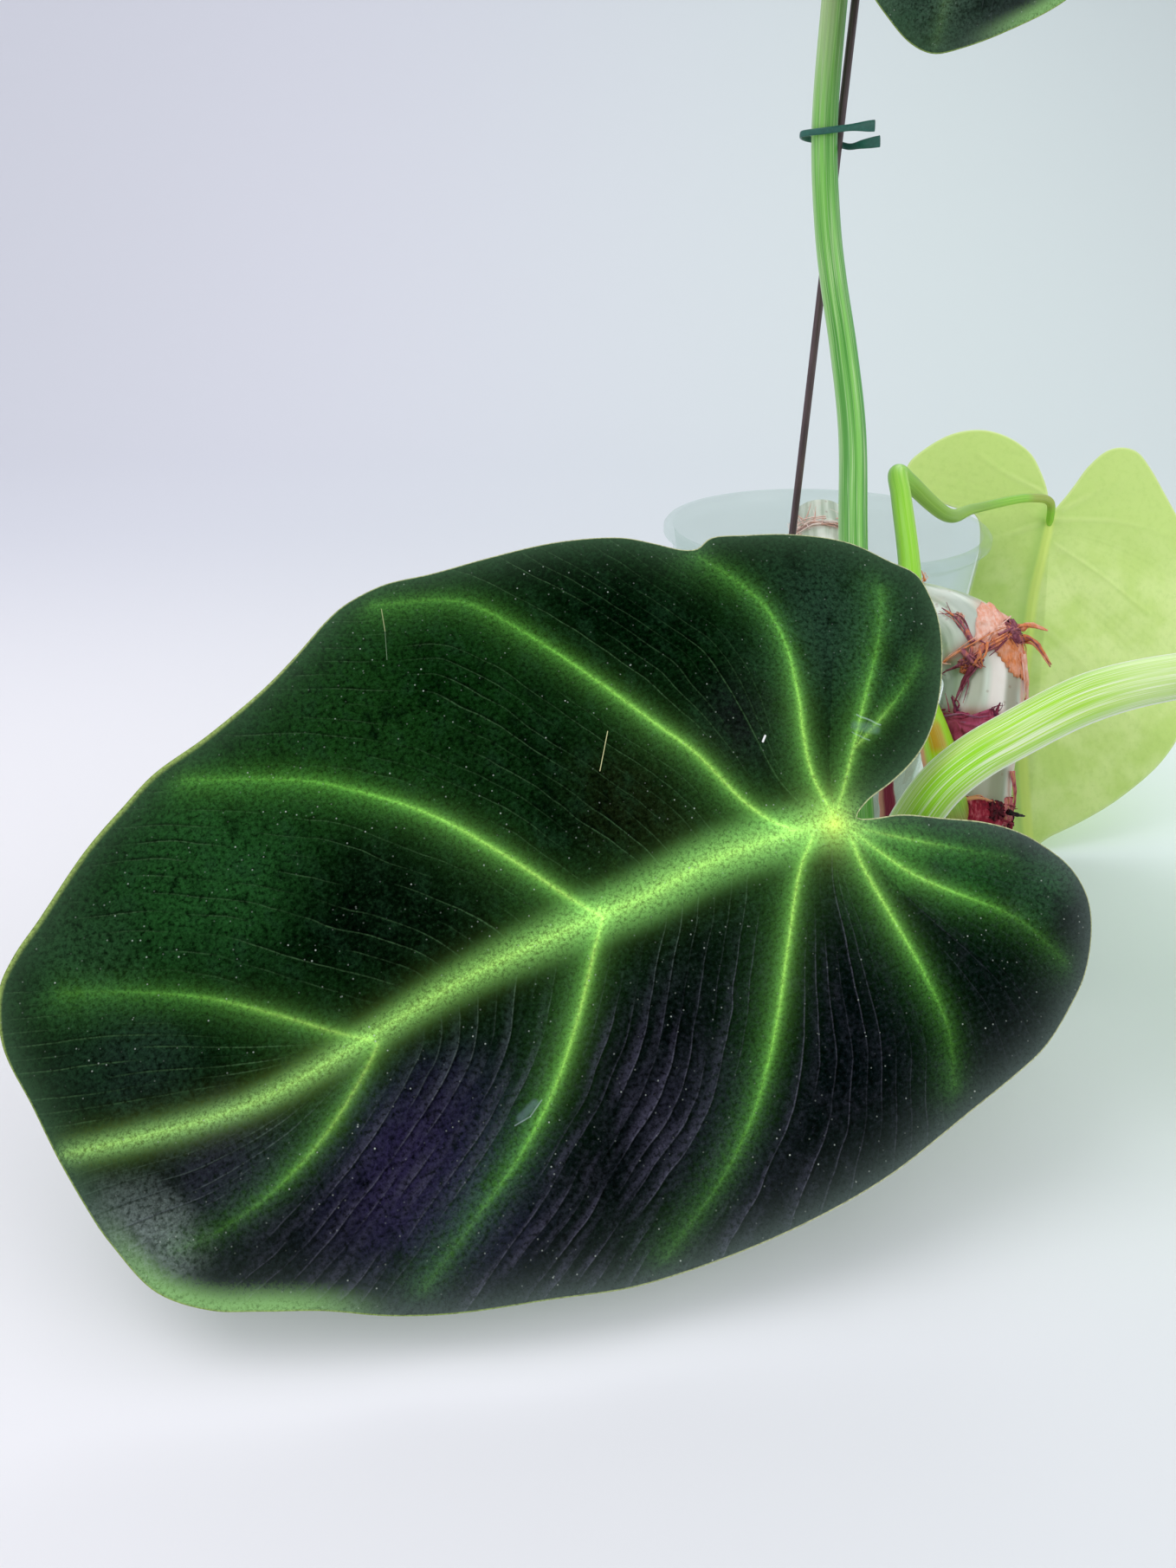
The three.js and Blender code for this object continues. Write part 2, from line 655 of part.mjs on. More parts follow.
function fringe(share, count, reach, seed) {
  const draw = seededDraw(seed);
  return Array.from({ length: count }, (_, strand) => {
    const degrees = (360 * (strand + draw())) / count;
    const end = share + reach * (0.5 + draw());
    const middle = [(share + end) / 2, degrees, FRINGE.arch];
    const tip = [end, degrees + FRINGE.lean * (draw() - 0.5), FRINGE.lift * draw()];
    const radius = THREE.MathUtils.lerp(FRINGE.thinnest, FRINGE.thickest, draw());
    return { path: [[share, degrees, 0], middle, tip], radius };
  });
}

const palePetioleClearance = petioleSolid(LEAVES.pale, PETIOLES.pale, GAP);

// A length of the stem, grown by some space, with its ends moved out
function stemLength(from, to, space, longer = 0) {
  const radiusAt = (share) => stemRadius(share) + space;
  return toSolid(sweep(STEM_LINE, radiusAt, STEM_SIDES, 2, from - longer, to + longer));
}

function fibreBody({ from, to, strands }) {
  const outside = stemLength(from, to, FIBRE_GAP + COLLAR_THICKNESS);
  let fibres = outside.subtract(stemLength(from, to, FIBRE_GAP, 0.001));
  for (const strand of strands) {
    fibres = fibres.add(strandBody(strand));
  }
  return largestPiece(fibres.subtract(stemClearance).subtract(palePetioleClearance));
}

const FIBRES = {
  stump: {
    from: 0.04,
    to: 0.06,
    strands: fringe(0.045, 10, -0.026, 3),
    finish: FINISH.oldFibre,
  },
  arch: {
    from: 0.532,
    to: 0.55,
    strands: [
      ...fringe(0.54, 8, 0.03, 7),
      { path: [[0.54, 128, 0], [0.555, 122, 0.8], [0.572, 112, 0]], radius: 1.7 },
      { path: [[0.545, 104, 0], [0.556, 112, 1.4], [0.568, 124, 0]], radius: 1.2 },
      { path: [[0.54, 26, 0], [0.541, 26, 3], [0.548, 26, 7]], radius: 1.4 },
      { path: [[0.545, 24, 0], [0.552, 25, 3], [0.57, 24, 6.5]], radius: 1.2 },
      { path: [[0.54, 155, 0], [0.548, 162, 1], [0.558, 166, 2.5]], radius: 1 },
      { path: [[0.545, 30, 0], [0.575, 20, 0.3], [0.601, 17, 0]], radius: 1 },
      { path: [[0.545, 113, 0], [0.575, 126, 0], [0.602, 137, 0]], radius: 1.1 },
      { path: [[0.538, 113, 0], [0.515, 119, 0], [0.497, 126, 0]], radius: 1 },
    ],
    finish: FINISH.oldFibre,
  },
  upper: {
    from: 0.612,
    to: 0.634,
    strands: [
      ...fringe(0.622, 8, 0.022, 11),
      { path: [[0.62, 172, 0], [0.613, 173, 0.8], [0.607, 174, 2.4]], radius: 0.8 },
      { path: [[0.62, 138, 0], [0.612, 139, 0.8], [0.606, 141, 2.2]], radius: 0.8 },
      { path: [[0.62, 90, 0], [0.614, 89, 0.8], [0.608, 88, 2.2]], radius: 0.8 },
    ],
    finish: FINISH.redFibre,
  },
  lower: {
    from: 0.706,
    to: 0.734,
    strands: [
      ...fringe(0.722, 8, 0.026, 19),
      { path: [[0.715, 96, 0], [0.708, 95, 0.8], [0.7, 93, 1.4]], radius: 1 },
      { path: [[0.712, 46, 0], [0.72, 33, 1.2], [0.732, 21, 2.6]], radius: 1 },
      { path: [[0.722, 40, 0], [0.735, 38, 0.6], [0.75, 36, 1.2]], radius: 1 },
    ],
    finish: FINISH.redFibre,
  },
};

for (const [name, fibre] of Object.entries(FIBRES)) {
  addPiece(`fibres_${name}`, toGeometry(fibreBody(fibre)), fibre.finish);
}

// Cataphyll: the withered sheath behind the high leaf's petiole, wide at its
// foot and pointed above

const CATAPHYLL_LINE = curveThrough([
  [8, -124, 26], [7.5, -117, 38], [6, -104, 58], [5.2, -91, 78], [5, -82, 94],
]);
const CATAPHYLL_TIP = 0.02;

function cataphyllBody() {
  const taper = (share) => Math.sqrt(Math.max(1 - share, CATAPHYLL_TIP));
  const widthAt = (share) => CATAPHYLL_WIDTH * taper(share);
  const thicknessAt = (share) => CATAPHYLL_THICKNESS * taper(share);
  const sheath = toSolid(strip(CATAPHYLL_LINE, [1, 0, 0], widthAt, thicknessAt, 8, 9));
  return largestPiece(sheath.subtract(stemClearance));
}

addPiece("cataphyll", toGeometry(cataphyllBody()), FINISH.cataphyll);

// Twist tie: one open turn round the high leaf's petiole and the stake, with
// both tails out to the right

const TIE_LINE = curveThrough([
  [0.8, -17.1, 246], [-6, -19, 245.5], [-14.3, -18.8, 244.6], [-21.3, -15, 243.8], [-19.5, -9.5, 243],
  [-12, -5.5, 242], [-8.5, -6, 241.5], [-5, -9, 240.5], [-2, -14, 241], [2.7, -18, 241.7],
]);
const TIE_SIDES = 6;
const TIE_STEPS = 18;

addPiece(
  "twist_tie",
  strip(TIE_LINE, [0, 0, 1], () => TIE_WIDTH, () => TIE_THICKNESS, TIE_SIDES, TIE_STEPS),
  FINISH.tie,
);

export default plant;
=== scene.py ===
"""A potted Philodendron luxurians: its looks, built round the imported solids.

Drawings and routes are in millimetres, as in the part's source, and are turned
into metres where a mesh is made.
"""

import math

import bmesh
import bpy
import numpy as np
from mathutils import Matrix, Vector


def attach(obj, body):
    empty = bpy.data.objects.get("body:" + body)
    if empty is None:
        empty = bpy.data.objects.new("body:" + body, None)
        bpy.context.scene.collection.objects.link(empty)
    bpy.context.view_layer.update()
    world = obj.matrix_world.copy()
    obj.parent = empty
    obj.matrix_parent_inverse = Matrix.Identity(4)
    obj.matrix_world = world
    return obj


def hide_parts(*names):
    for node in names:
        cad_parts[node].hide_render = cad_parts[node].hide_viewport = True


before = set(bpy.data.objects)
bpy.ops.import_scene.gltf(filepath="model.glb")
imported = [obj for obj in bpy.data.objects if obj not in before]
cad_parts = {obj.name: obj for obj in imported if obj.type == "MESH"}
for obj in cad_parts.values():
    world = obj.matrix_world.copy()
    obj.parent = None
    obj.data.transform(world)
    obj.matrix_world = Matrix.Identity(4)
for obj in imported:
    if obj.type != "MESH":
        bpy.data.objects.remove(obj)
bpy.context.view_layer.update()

MM = 0.001
RNG = np.random.default_rng(20)

# Camera: 44 cm in front of the pot, 23 cm above the surface, looking down
CAMERA_PLACE = (-0.0884, -0.436, 0.226)
CAMERA_PITCH = math.radians(90 - 26.5)
IMAGE_WIDTH = 1358
IMAGE_HEIGHT = 1810
FOCAL_PIXELS = 1358
SENSOR = 36.0


def add_camera():
    """The photo's camera, as it was worked out from the picture's lines."""
    data = bpy.data.cameras.new("camera")
    data.sensor_width = SENSOR
    data.lens = SENSOR * FOCAL_PIXELS / max(IMAGE_WIDTH, IMAGE_HEIGHT)
    data.clip_start = 0.01
    data.dof.use_dof = False
    camera = bpy.data.objects.new("camera", data)
    camera.location = CAMERA_PLACE
    camera.rotation_euler = (CAMERA_PITCH, 0, 0)
    bpy.context.scene.collection.objects.link(camera)
    bpy.context.scene.camera = camera


# Curves

def smooth_path(points, per_span=16, closed=False):
    """Centripetal Catmull-Rom line through the points."""
    points = np.asarray(points, float)
    if closed:
        padded = np.vstack([points[-1:], points, points[:2]])
    else:
        first = 2 * points[0] - points[1]
        last = 2 * points[-1] - points[-2]
        padded = np.vstack([first, points, last])
    path = []
    steps = np.linspace(0, 1, per_span, endpoint=False)[:, None]
    for before, start, end, after in zip(padded, padded[1:], padded[2:], padded[3:]):
        pairs = ((before, start), (start, end), (end, after))
        gaps = [math.sqrt(np.linalg.norm(b - a)) or 1e-4 for a, b in pairs]
        out = (start - before) / gaps[0] - (end - before) / (gaps[0] + gaps[1]) + (end - start) / gaps[1]
        into = (end - start) / gaps[1] - (after - start) / (gaps[1] + gaps[2]) + (after - end) / gaps[2]
        out, into = out * gaps[1], into * gaps[1]
        cubic = 2 * start - 2 * end + out + into
        square = 3 * end - 3 * start - 2 * out - into
        path.append(start + out * steps + square * steps**2 + cubic * steps**3)
    if not closed:
        path.append(points[-1:])
    return np.vstack(path)


def run_along(line):
    """Distance from the start of a line to each of its points."""
    return np.concatenate([[0], np.cumsum(np.linalg.norm(np.diff(line, axis=0), axis=1))])


def evenly(path, count, closed=False):
    """The same line with points at equal distances."""
    if closed:
        path = np.vstack([path, path[:1]])
    run = run_along(path)
    at = np.linspace(0, run[-1], count, endpoint=not closed)
    return np.stack([np.interp(at, run, path[:, axis]) for axis in range(path.shape[1])], axis=1)


def tangents_of(path):
    """Unit vectors along the path at each of its points."""
    ahead = np.gradient(path, axis=0)
    return ahead / np.linalg.norm(ahead, axis=1, keepdims=True)


def across_of(path, wide):
    """Unit vectors square to the path, as near as can be to `wide`."""
    tangents = tangents_of(path)
    wide = np.asarray(wide, float)
    across = wide - tangents * (tangents @ wide)[:, None]
    return across / np.linalg.norm(across, axis=1, keepdims=True)


def along_line(points, line):
    """Distance, signed distance and share of the run at the nearest place of a flat line."""
    starts, ends = line[:-1], line[1:]
    spans = ends - starts
    lengths = np.linalg.norm(spans, axis=1)
    runs = np.concatenate([[0], np.cumsum(lengths)])
    best = np.full(len(points), np.inf)
    side = np.zeros(len(points))
    share = np.zeros(len(points))
    for index, (start, span, length) in enumerate(zip(starts, spans, lengths)):
        offset = points - start
        along = np.clip(offset @ span / length**2, 0, 1)
        apart = np.linalg.norm(offset - along[:, None] * span, axis=1)
        nearer = apart < best
        best = np.where(nearer, apart, best)
        cross = span[0] * offset[:, 1] - span[1] * offset[:, 0]
        side = np.where(nearer, np.sign(cross), side)
        share = np.where(nearer, (runs[index] + along * length) / runs[-1], share)
    return best, best * side, share


def smoothstep(low, high, value):
    """A soft step from 0 at `low` to 1 at `high`."""
    share = np.clip((value - low) / (high - low), 0, 1)
    return share * share * (3 - 2 * share)


# Meshes

def mesh_object(name, points, faces, attributes=None, smooth=True):
    """A mesh from points in millimetres, with a value or a vector on each of its points."""
    mesh = bpy.data.meshes.new(name)
    mesh.from_pydata((np.asarray(points) * MM).tolist(), [], faces)
    for key, values in (attributes or {}).items():
        values = np.asarray(values, np.float32)
        kind = "FLOAT" if values.ndim == 1 else "FLOAT_VECTOR"
        layer = mesh.attributes.new(key, kind, "POINT")
        layer.data.foreach_set("value" if values.ndim == 1 else "vector", values.ravel())
    mesh.polygons.foreach_set("use_smooth", [smooth] * len(mesh.polygons))
    mesh.update()
    piece = bpy.data.objects.new(name, mesh)
    bpy.context.scene.collection.objects.link(piece)
    return piece


def belt(first, second, sides):
    """Squares from the points of one ring to those of another."""
    pairs = [(side, (side + 1) % sides) for side in range(sides)]
    return [(first + side, first + after, second + after, second + side) for side, after in pairs]


def ring_faces(rings, sides, offset=0):
    """Squares between rings of points, turned so that they face outward."""
    lows = [offset + ring * sides for ring in range(rings - 1)]
    return [face for low in lows for face in belt(low, low + sides, sides)]


def flipped(faces):
    """The same faces, turned the other way."""
    return [tuple(reversed(face)) for face in faces]


def turn_outward(piece):
    """Makes every face of a closed piece point out of it."""
    work = bmesh.new()
    work.from_mesh(piece.data)
    bmesh.ops.recalc_face_normals(work, faces=work.faces)
    work.to_mesh(piece.data)
    work.free()


def smooth_shaded(piece):
    """Rounds the shading of all the faces of a piece."""
    piece.data.polygons.foreach_set("use_smooth", [True] * len(piece.data.polygons))


def finish_piece(piece, material, slot, *nodes):
    """Gives a piece its material and its body, and hides the solids it stands for; its slot is not used.
    """
    piece.data.materials.clear()
    piece.data.materials.append(material)
    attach(piece, "root")
    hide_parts(*nodes)
    return piece


def applied(piece):
    """The piece as a plain mesh, with its modifiers worked in and removed."""
    depsgraph = bpy.context.evaluated_depsgraph_get()
    mesh = bpy.data.meshes.new_from_object(piece.evaluated_get(depsgraph), depsgraph=depsgraph)
    mesh.name = piece.name
    piece.modifiers.clear()
    piece.data = mesh
    return piece


# Geometry Nodes

def new_tree(name, inputs):
    """A tree that takes and gives a geometry, with named inputs, and its two ends."""
    tree = bpy.data.node_groups.new(name, "GeometryNodeTree")
    for way in ("OUTPUT", "INPUT"):
        tree.interface.new_socket("Geometry", in_out=way, socket_type="NodeSocketGeometry")
    for label, kind in inputs.items():
        tree.interface.new_socket(label, in_out="INPUT", socket_type=f"NodeSocket{kind}")
    return tree, tree.nodes.new("NodeGroupInput"), tree.nodes.new("NodeGroupOutput")


def add_node(tree, kind, inputs=None, **settings):
    """A node with its settings, each of its inputs a value or another node's output."""
    node = tree.nodes.new(kind)
    for key, setting in settings.items():
        setattr(node, key, setting)
    for key, value in (inputs or {}).items():
        if isinstance(value, bpy.types.NodeSocket):
            tree.links.new(value, node.inputs[key])
        elif value is not None:
            node.inputs[key].default_value = value
    return node


def chain(tree, *nodes):
    """Links each node's first output to the next one's first input."""
    for first, second in zip(nodes, nodes[1:]):
        tree.links.new(first.outputs[0], second.inputs[0])


def tube_tree():
    """A round tube along each line of a mesh, as thick as the line's own `radius`."""
    tree, start, end = new_tree("tube_along_line", {"Sides": "Int", "Finish": "Material"})
    to_curve = add_node(tree, "GeometryNodeMeshToCurve")
    named = add_node(tree, "GeometryNodeInputNamedAttribute", {"Name": "radius"}, data_type="FLOAT")
    radius = named.outputs["Attribute"]
    set_radius = add_node(tree, "GeometryNodeSetCurveRadius", {"Radius": radius})
    circle = {"Resolution": start.outputs["Sides"], "Radius": 1.0}
    profile = add_node(tree, "GeometryNodeCurvePrimitiveCircle", circle)
    swept = {"Profile Curve": profile.outputs["Curve"], "Fill Caps": True}
    sweep = add_node(tree, "GeometryNodeCurveToMesh", swept)
    if "Scale" in sweep.inputs:
        tree.links.new(radius, sweep.inputs["Scale"])
    realize = add_node(tree, "GeometryNodeRealizeInstances")
    finish = add_node(tree, "GeometryNodeSetMaterial", {"Material": start.outputs["Finish"]})
    chain(tree, start, to_curve, set_radius, sweep, realize, finish, end)
    return tree


def grain_tree():
    """Grains of stone scattered over a face, each turned and sized by chance."""
    inputs = {"Density": "Float", "Size": "Float", "Seed": "Int", "Finish": "Material"}
    tree, start, end = new_tree("scattered_grains", inputs)
    given = start.outputs
    where = {"Density": given["Density"], "Seed": given["Seed"]}
    spread = add_node(tree, "GeometryNodeDistributePointsOnFaces", where)
    grain = add_node(tree, "GeometryNodeMeshIcoSphere", {"Radius": 1.0, "Subdivisions": 2})
    any_turn = {"Max": (math.tau,) * 3, "Seed": given["Seed"]}
    turn = add_node(tree, "FunctionNodeRandomValue", any_turn, data_type="FLOAT_VECTOR")
    any_shape = {"Min": (0.5, 0.5, 0.4), "Max": (1.3, 1.2, 0.9)}
    shape = add_node(tree, "FunctionNodeRandomValue", any_shape, data_type="FLOAT_VECTOR")
    sized = {0: shape.outputs["Value"], "Scale": given["Size"]}
    size = add_node(tree, "ShaderNodeVectorMath", sized, operation="SCALE")
    scattered = {"Instance": grain.outputs["Mesh"], "Rotation": turn.outputs["Value"],
                 "Scale": size.outputs["Vector"]}
    scatter = add_node(tree, "GeometryNodeInstanceOnPoints", scattered)
    realize = add_node(tree, "GeometryNodeRealizeInstances")
    finish = add_node(tree, "GeometryNodeSetMaterial", {"Material": given["Finish"]})
    chain(tree, start, spread, scatter, realize, finish, end)
    return tree


def grown_by(tree, piece, **values):
    """Runs a tree on a piece and keeps the result as a plain mesh."""
    modifier = piece.modifiers.new(tree.name, "NODES")
    modifier.node_group = tree
    for item in tree.interface.items_tree:
        if item.in_out == "INPUT" and item.name in values:
            modifier[item.identifier] = values[item.name]
    return applied(piece)


def tubes(name, lines, radii, sides, material, shades=None):
    """Round tubes along lines given in millimetres, joined in one piece."""
    shades = [0.0] * len(lines) if shades is None else shades
    edges, first = [], 0
    for line in lines:
        edges.extend((first + step, first + step + 1) for step in range(len(line) - 1))
        first += len(line)
    marks = {
        "radius": [np.broadcast_to(radius, len(line)) * MM for line, radius in zip(lines, radii)],
        "run": [run_along(line) for line in lines],
        "shade": [np.full(len(line), shade) for line, shade in zip(lines, shades)],
    }
    mesh = bpy.data.meshes.new(name)
    mesh.from_pydata((np.vstack(lines) * MM).tolist(), edges, [])
    for key, values in marks.items():
        layer = mesh.attributes.new(key, "FLOAT", "POINT")
        layer.data.foreach_set("value", np.concatenate(values).astype(np.float32))
    piece = bpy.data.objects.new(name, mesh)
    bpy.context.scene.collection.objects.link(piece)
    grown_by(TUBE_TREE, piece, Sides=sides, Finish=material)
    smooth_shaded(piece)
    return piece


# Materials

class Value:
    """A node's output in a finish. Arithmetic on it adds the nodes that work it out."""

    def __init__(self, finish, socket):
        self.finish = finish
        self.socket = socket

    def __add__(self, other):
        return self.finish.math("ADD", self, other)

    def __sub__(self, other):
        return self.finish.math("SUBTRACT", self, other)

    def __mul__(self, other):
        return self.finish.math("MULTIPLY", self, other)

    def __truediv__(self, other):
        return self.finish.math("DIVIDE", self, other)

    def __abs__(self):
        return self.finish.math("ABSOLUTE", self)


class Finish:
    """One material; each method adds a node and gives its output."""

    def __init__(self, name, **surface):
        self.material = bpy.data.materials.new(name)
        self.material.use_nodes = True
        self.shader = self.material.node_tree.nodes["Principled BSDF"]
        for label, value in surface.items():
            self.set(label.replace("_", " "), value)

    def set(self, label, value):
        if isinstance(value, Value):
            self.material.node_tree.links.new(value.socket, self.shader.inputs[label])
        else:
            self.shader.inputs[label].default_value = colour(value) if isinstance(value, str) else value

    def node(self, kind, inputs, output=0, **settings):
        """One output of a new node, whose inputs are values, colours as text or other outputs."""
        plain = {}
        for key, value in inputs.items():
            if isinstance(value, Value):
                value = value.socket
            plain[key] = colour(value) if isinstance(value, str) else value
        node = add_node(self.material.node_tree, f"ShaderNode{kind}", plain, **settings)
        return Value(self, node.outputs[output])

    def attribute(self, name, output="Fac"):
        return self.node("Attribute", {}, output, attribute_name=name)

    def attributes(self, *names):
        return [self.attribute(name) for name in names]

    def place(self):
        return self.node("TexCoord", {}, "Object")

    def math(self, operation, *values, clamp=False):
        return self.node("Math", dict(enumerate(values)), operation=operation, use_clamp=clamp)

    def vector(self, operation, *values):
        output = "Value" if operation in ("DISTANCE", "DOT_PRODUCT") else "Vector"
        return self.node("VectorMath", dict(enumerate(values)), output, operation=operation)

    def split(self, vector):
        first = self.node("SeparateXYZ", {0: vector})
        return [Value(self, socket) for socket in first.socket.node.outputs]

    def join(self, x, y, z=0.0):
        return self.node("CombineXYZ", {0: x, 1: y, 2: z})

    def stretch(self, vector, scale):
        return self.vector("MULTIPLY", vector, scale)

    def noise(self, vector, scale, detail=3.0, roughness=0.5, output="Fac"):
        inputs = {"Vector": vector, "Scale": scale, "Detail": detail, "Roughness": roughness}
        return self.node("TexNoise", inputs, output)

    def cells(self, vector, scale):
        """How far each place is from the middle of its cell, and a number for the cell."""
        apart = self.node("TexVoronoi", {"Vector": vector, "Scale": scale}, "Distance")
        tint = Value(self, apart.socket.node.outputs["Color"])
        return apart, self.split(tint)[0]

    def fade(self, value, low, high, to_low=0.0, to_high=1.0):
        """A soft step of `value` from `low` to `high`."""
        inputs = dict(enumerate((value, low, high, to_low, to_high)))
        return self.node("MapRange", inputs, "Result", interpolation_type="SMOOTHSTEP")

    def mix(self, share, first, second, blend="MIX"):
        inputs = {"Factor": share, 6: first, 7: second}
        return self.node("Mix", inputs, 2, data_type="RGBA", blend_type=blend)

    def finished(self, tint, height, strength, distance):
        """The material, with its colour and a fine relief."""
        relief = {"Strength": strength, "Distance": distance, "Height": height}
        self.set("Base Color", tint)
        self.set("Normal", self.node("Bump", relief, "Normal"))
        return self.material


def colour(text):
    """A linear colour from an sRGB one written as #rrggbb."""
    parts = [int(text[i : i + 2], 16) / 255 for i in (1, 3, 5)]
    return tuple(p / 12.92 if p <= 0.04045 else ((p + 0.055) / 1.055) ** 2.4 for p in parts) + (1.0,)


# Soft spots of the front blade: along, across, reach and colour
FRONT_SPOTS = [
    (100, -78, 62, "#1a4217"),  # greener towards the far margin
    (146, -48, 36, "#255526"),
    (176, -40, 20, "#2b4f2e"),
    (13, -33, 22, "#18191d"),  # between the far veins, near the midrib
    (34, -62, 34, "#001003"),
    (74, -72, 24, "#0a2c0a"),
    (46, -24, 26, "#161c0b"),
    (106, -27, 30, "#030a05"),
    (88, -22, 12, "#0a160a"),
    # The next spot greys the far lobe: painted sheen where it rolls away
    (-22, -48, 34, "#2b4635"),  # far lobe
    (-29, -38, 8, "#0d1517"),
    (-16, 38, 26, "#03150b"),  # near lobe
    (20, 44, 38, "#00090a"),
    (-22, 16, 20, "#1f5522"),
    (-6, 9, 11, "#3f8030"),
    (-38, 30, 14, "#33603a"),
    (60, 52, 30, "#1d1c2a"),  # purple part of the near half
    (122, 34, 36, "#2c2546"),
    (160, 16, 22, "#292637"),
    # The next spot is painted sheen where the margin near the tip rolls away
    (186, 22, 20, "#808c88"),
    (170, -14, 22, "#1f3028"),
]
# Scratches and dried smudges on it: start, end, half width, colour and strength
FRONT_MARKS = [
    ((45.5, -43), (51.5, -34.5), 0.13, "#e2e0a8", 0.8),
    ((82.5, -95.5), (84, -89), 0.16, "#d3d6a0", 0.45),
    ((84, -89), (86.5, -81), 0.1, "#a8bfa0", 0.35),
    ((94.6, 28.6), (98.6, 30.2), 1.3, "#6a8084", 0.4),
    ((93, 28.6), (96.6, 30.8), 0.22, "#b4c4c6", 0.35),
    ((96.6, 30.8), (100.4, 31.2), 0.22, "#b4c4c6", 0.35),
    ((-15.5, -19), (-11.5, -21.5), 1.8, "#6f9084", 0.35),
    ((-17.3, -19.5), (-13, -24), 0.3, "#b8d4c8", 0.4),
    ((-12.8, -17), (-9.8, -20.4), 0.25, "#a4c4b6", 0.35),
    ((11, -27.5), (12.2, -26.4), 0.35, "#ffffff", 0.9),
]
SPOT_WARP = 16.0
SPOT_WARP_SCALE = 0.06


def spots_on(finish, ground, flat, spots):
    """Ground colour with soft-edged spots of other colours."""
    warp = finish.noise(flat, SPOT_WARP_SCALE, output="Color")
    shifted = finish.vector("MULTIPLY_ADD", warp, (SPOT_WARP, SPOT_WARP, 0.0), flat)
    for along, across, reach, tint in spots:
        middle = (along + SPOT_WARP / 2, across + SPOT_WARP / 2, 0.0)
        apart = finish.vector("DISTANCE", shifted, middle)
        ground = finish.mix(finish.fade(apart, reach * 0.15, reach, 0.9, 0.0), ground, tint)
    return ground


def stroke(finish, flat, start, end, half_width):
    """1 on a mark with round ends between two places of the drawing, 0 away from it."""
    span = np.subtract(end, start)
    length = float(np.linalg.norm(span))
    ahead = (*(span / length), 0.0)
    run = finish.vector("DOT_PRODUCT", finish.vector("SUBTRACT", flat, (*start, 0.0)), ahead)
    run = finish.math("MINIMUM", finish.math("MAXIMUM", run, 0.0), length)
    nearest = finish.vector("MULTIPLY_ADD", finish.join(run, run, run), ahead, (*start, 0.0))
    apart = finish.vector("DISTANCE", flat, nearest)
    return finish.fade(apart, half_width * 0.3, half_width, 1.0, 0.0)


def glowing(finish, ground, distance, reach, tint, strength):
    """Adds light to the ground that dies away with the distance."""
    fall = finish.math("EXPONENT", distance / -reach)
    fall = finish.math("MULTIPLY", fall, strength, clamp=True)
    return finish.mix(fall, ground, tint, "ADD")


def side_veins_on(finish, ground, ragged, speckle, near_half, glow):
    """Veins that run from the midrib to the margin, fainter towards their ends."""
    fade = finish.fade
    vein, line, run, power = finish.attributes("vein", "vein_line", "vein_run", "vein_power")
    # The signed distance draws a crisper line, but holds only close to a vein
    exact = finish.math("MAXIMUM", abs(line), vein - 1.0)
    worn = power * fade(run, 0.25, 0.9, 1.25, 0.7)
    worn = worn * (near_half * fade(run, 0.5, 0.9, 0.0, -0.45)) + worn
    frayed = vein * fade(line, -1.0, 1.0, 1.15, 0.9) + ragged * 0.8
    frayed = finish.math("MAXIMUM", frayed, 0.0)
    blurred = frayed / fade(run, 0.3, 0.95, 1.0, 2.2)
    thin_tint = finish.mix(fade(run, 0.1, 0.7), "#8ea04c", "#629a38")
    wide = worn * fade(line, -2.0, 2.0, 0.4, 1.0) * speckle
    early = worn * fade(run, 0.3, 0.65, 1.0, 0.2)
    soft = worn * (speckle * fade(run, 0.3, 0.9, 1.0, 0.85))
    thin = worn * fade(run, 0.45, 1.0, 1.0, 0.25)
    ground = glowing(finish, ground, frayed, 4.4, "#264f20", wide * glow)
    ground = glowing(finish, ground, frayed, 2.3, "#486830", early * glow)
    ground = glowing(finish, ground, blurred, 1.15, "#4f8c30", soft * glow)
    return glowing(finish, ground, exact, 0.4, thin_tint, thin * glow)


def midrib_on(finish, ground, ragged, speckle, glow):
    """A broad pale band that narrows to the tip, and a bright crest in its middle."""
    fade = finish.fade
    rib, line, run = finish.attributes("rib", "rib_line", "rib_run")
    band = finish.math("MAXIMUM", rib + ragged * fade(rib, 0.0, 4.5, 0.2, 2.0), 0.0)
    band = band / fade(run, 0.2, 0.8, 1.05, 0.52)
    fading = speckle * fade(run, 0.2, 0.55, 1.12, 0.66) * glow
    halo_tint = finish.mix(fade(run, 0.5, 0.9), "#588c48", "#4e7850")
    ground = finish.mix(fade(band, 1.5, 9.0, 1.0, 0.0) * fading, ground, halo_tint, "ADD")
    ground = glowing(finish, ground, band, 2.8, "#74a853", fading)
    crest = abs(line + ragged * 0.12)
    return glowing(finish, ground, crest, 1.9, "#86a044", fade(run, 0.2, 0.6, 1.0, 0.9) * glow)


HUB = (4.5, -1.8, 0.0)


def hub_on(finish, ground, flat, ragged, glow):
    """A yellow spot with a green glow where the petiole meets the blade."""
    to_hub = finish.vector("DISTANCE", flat, HUB)
    to_hub = finish.math("MAXIMUM", to_hub + ragged * 1.2, 0.0)
    ground = glowing(finish, ground, to_hub, 8.0, "#46703a", 0.8 * glow)
    return glowing(finish, ground, to_hub, 2.8, "#dcc82c", glow)


# Where the painted lit sides of the veinlets show most
PURPLE_PLACE = (104.0, 58.0, 0.0)


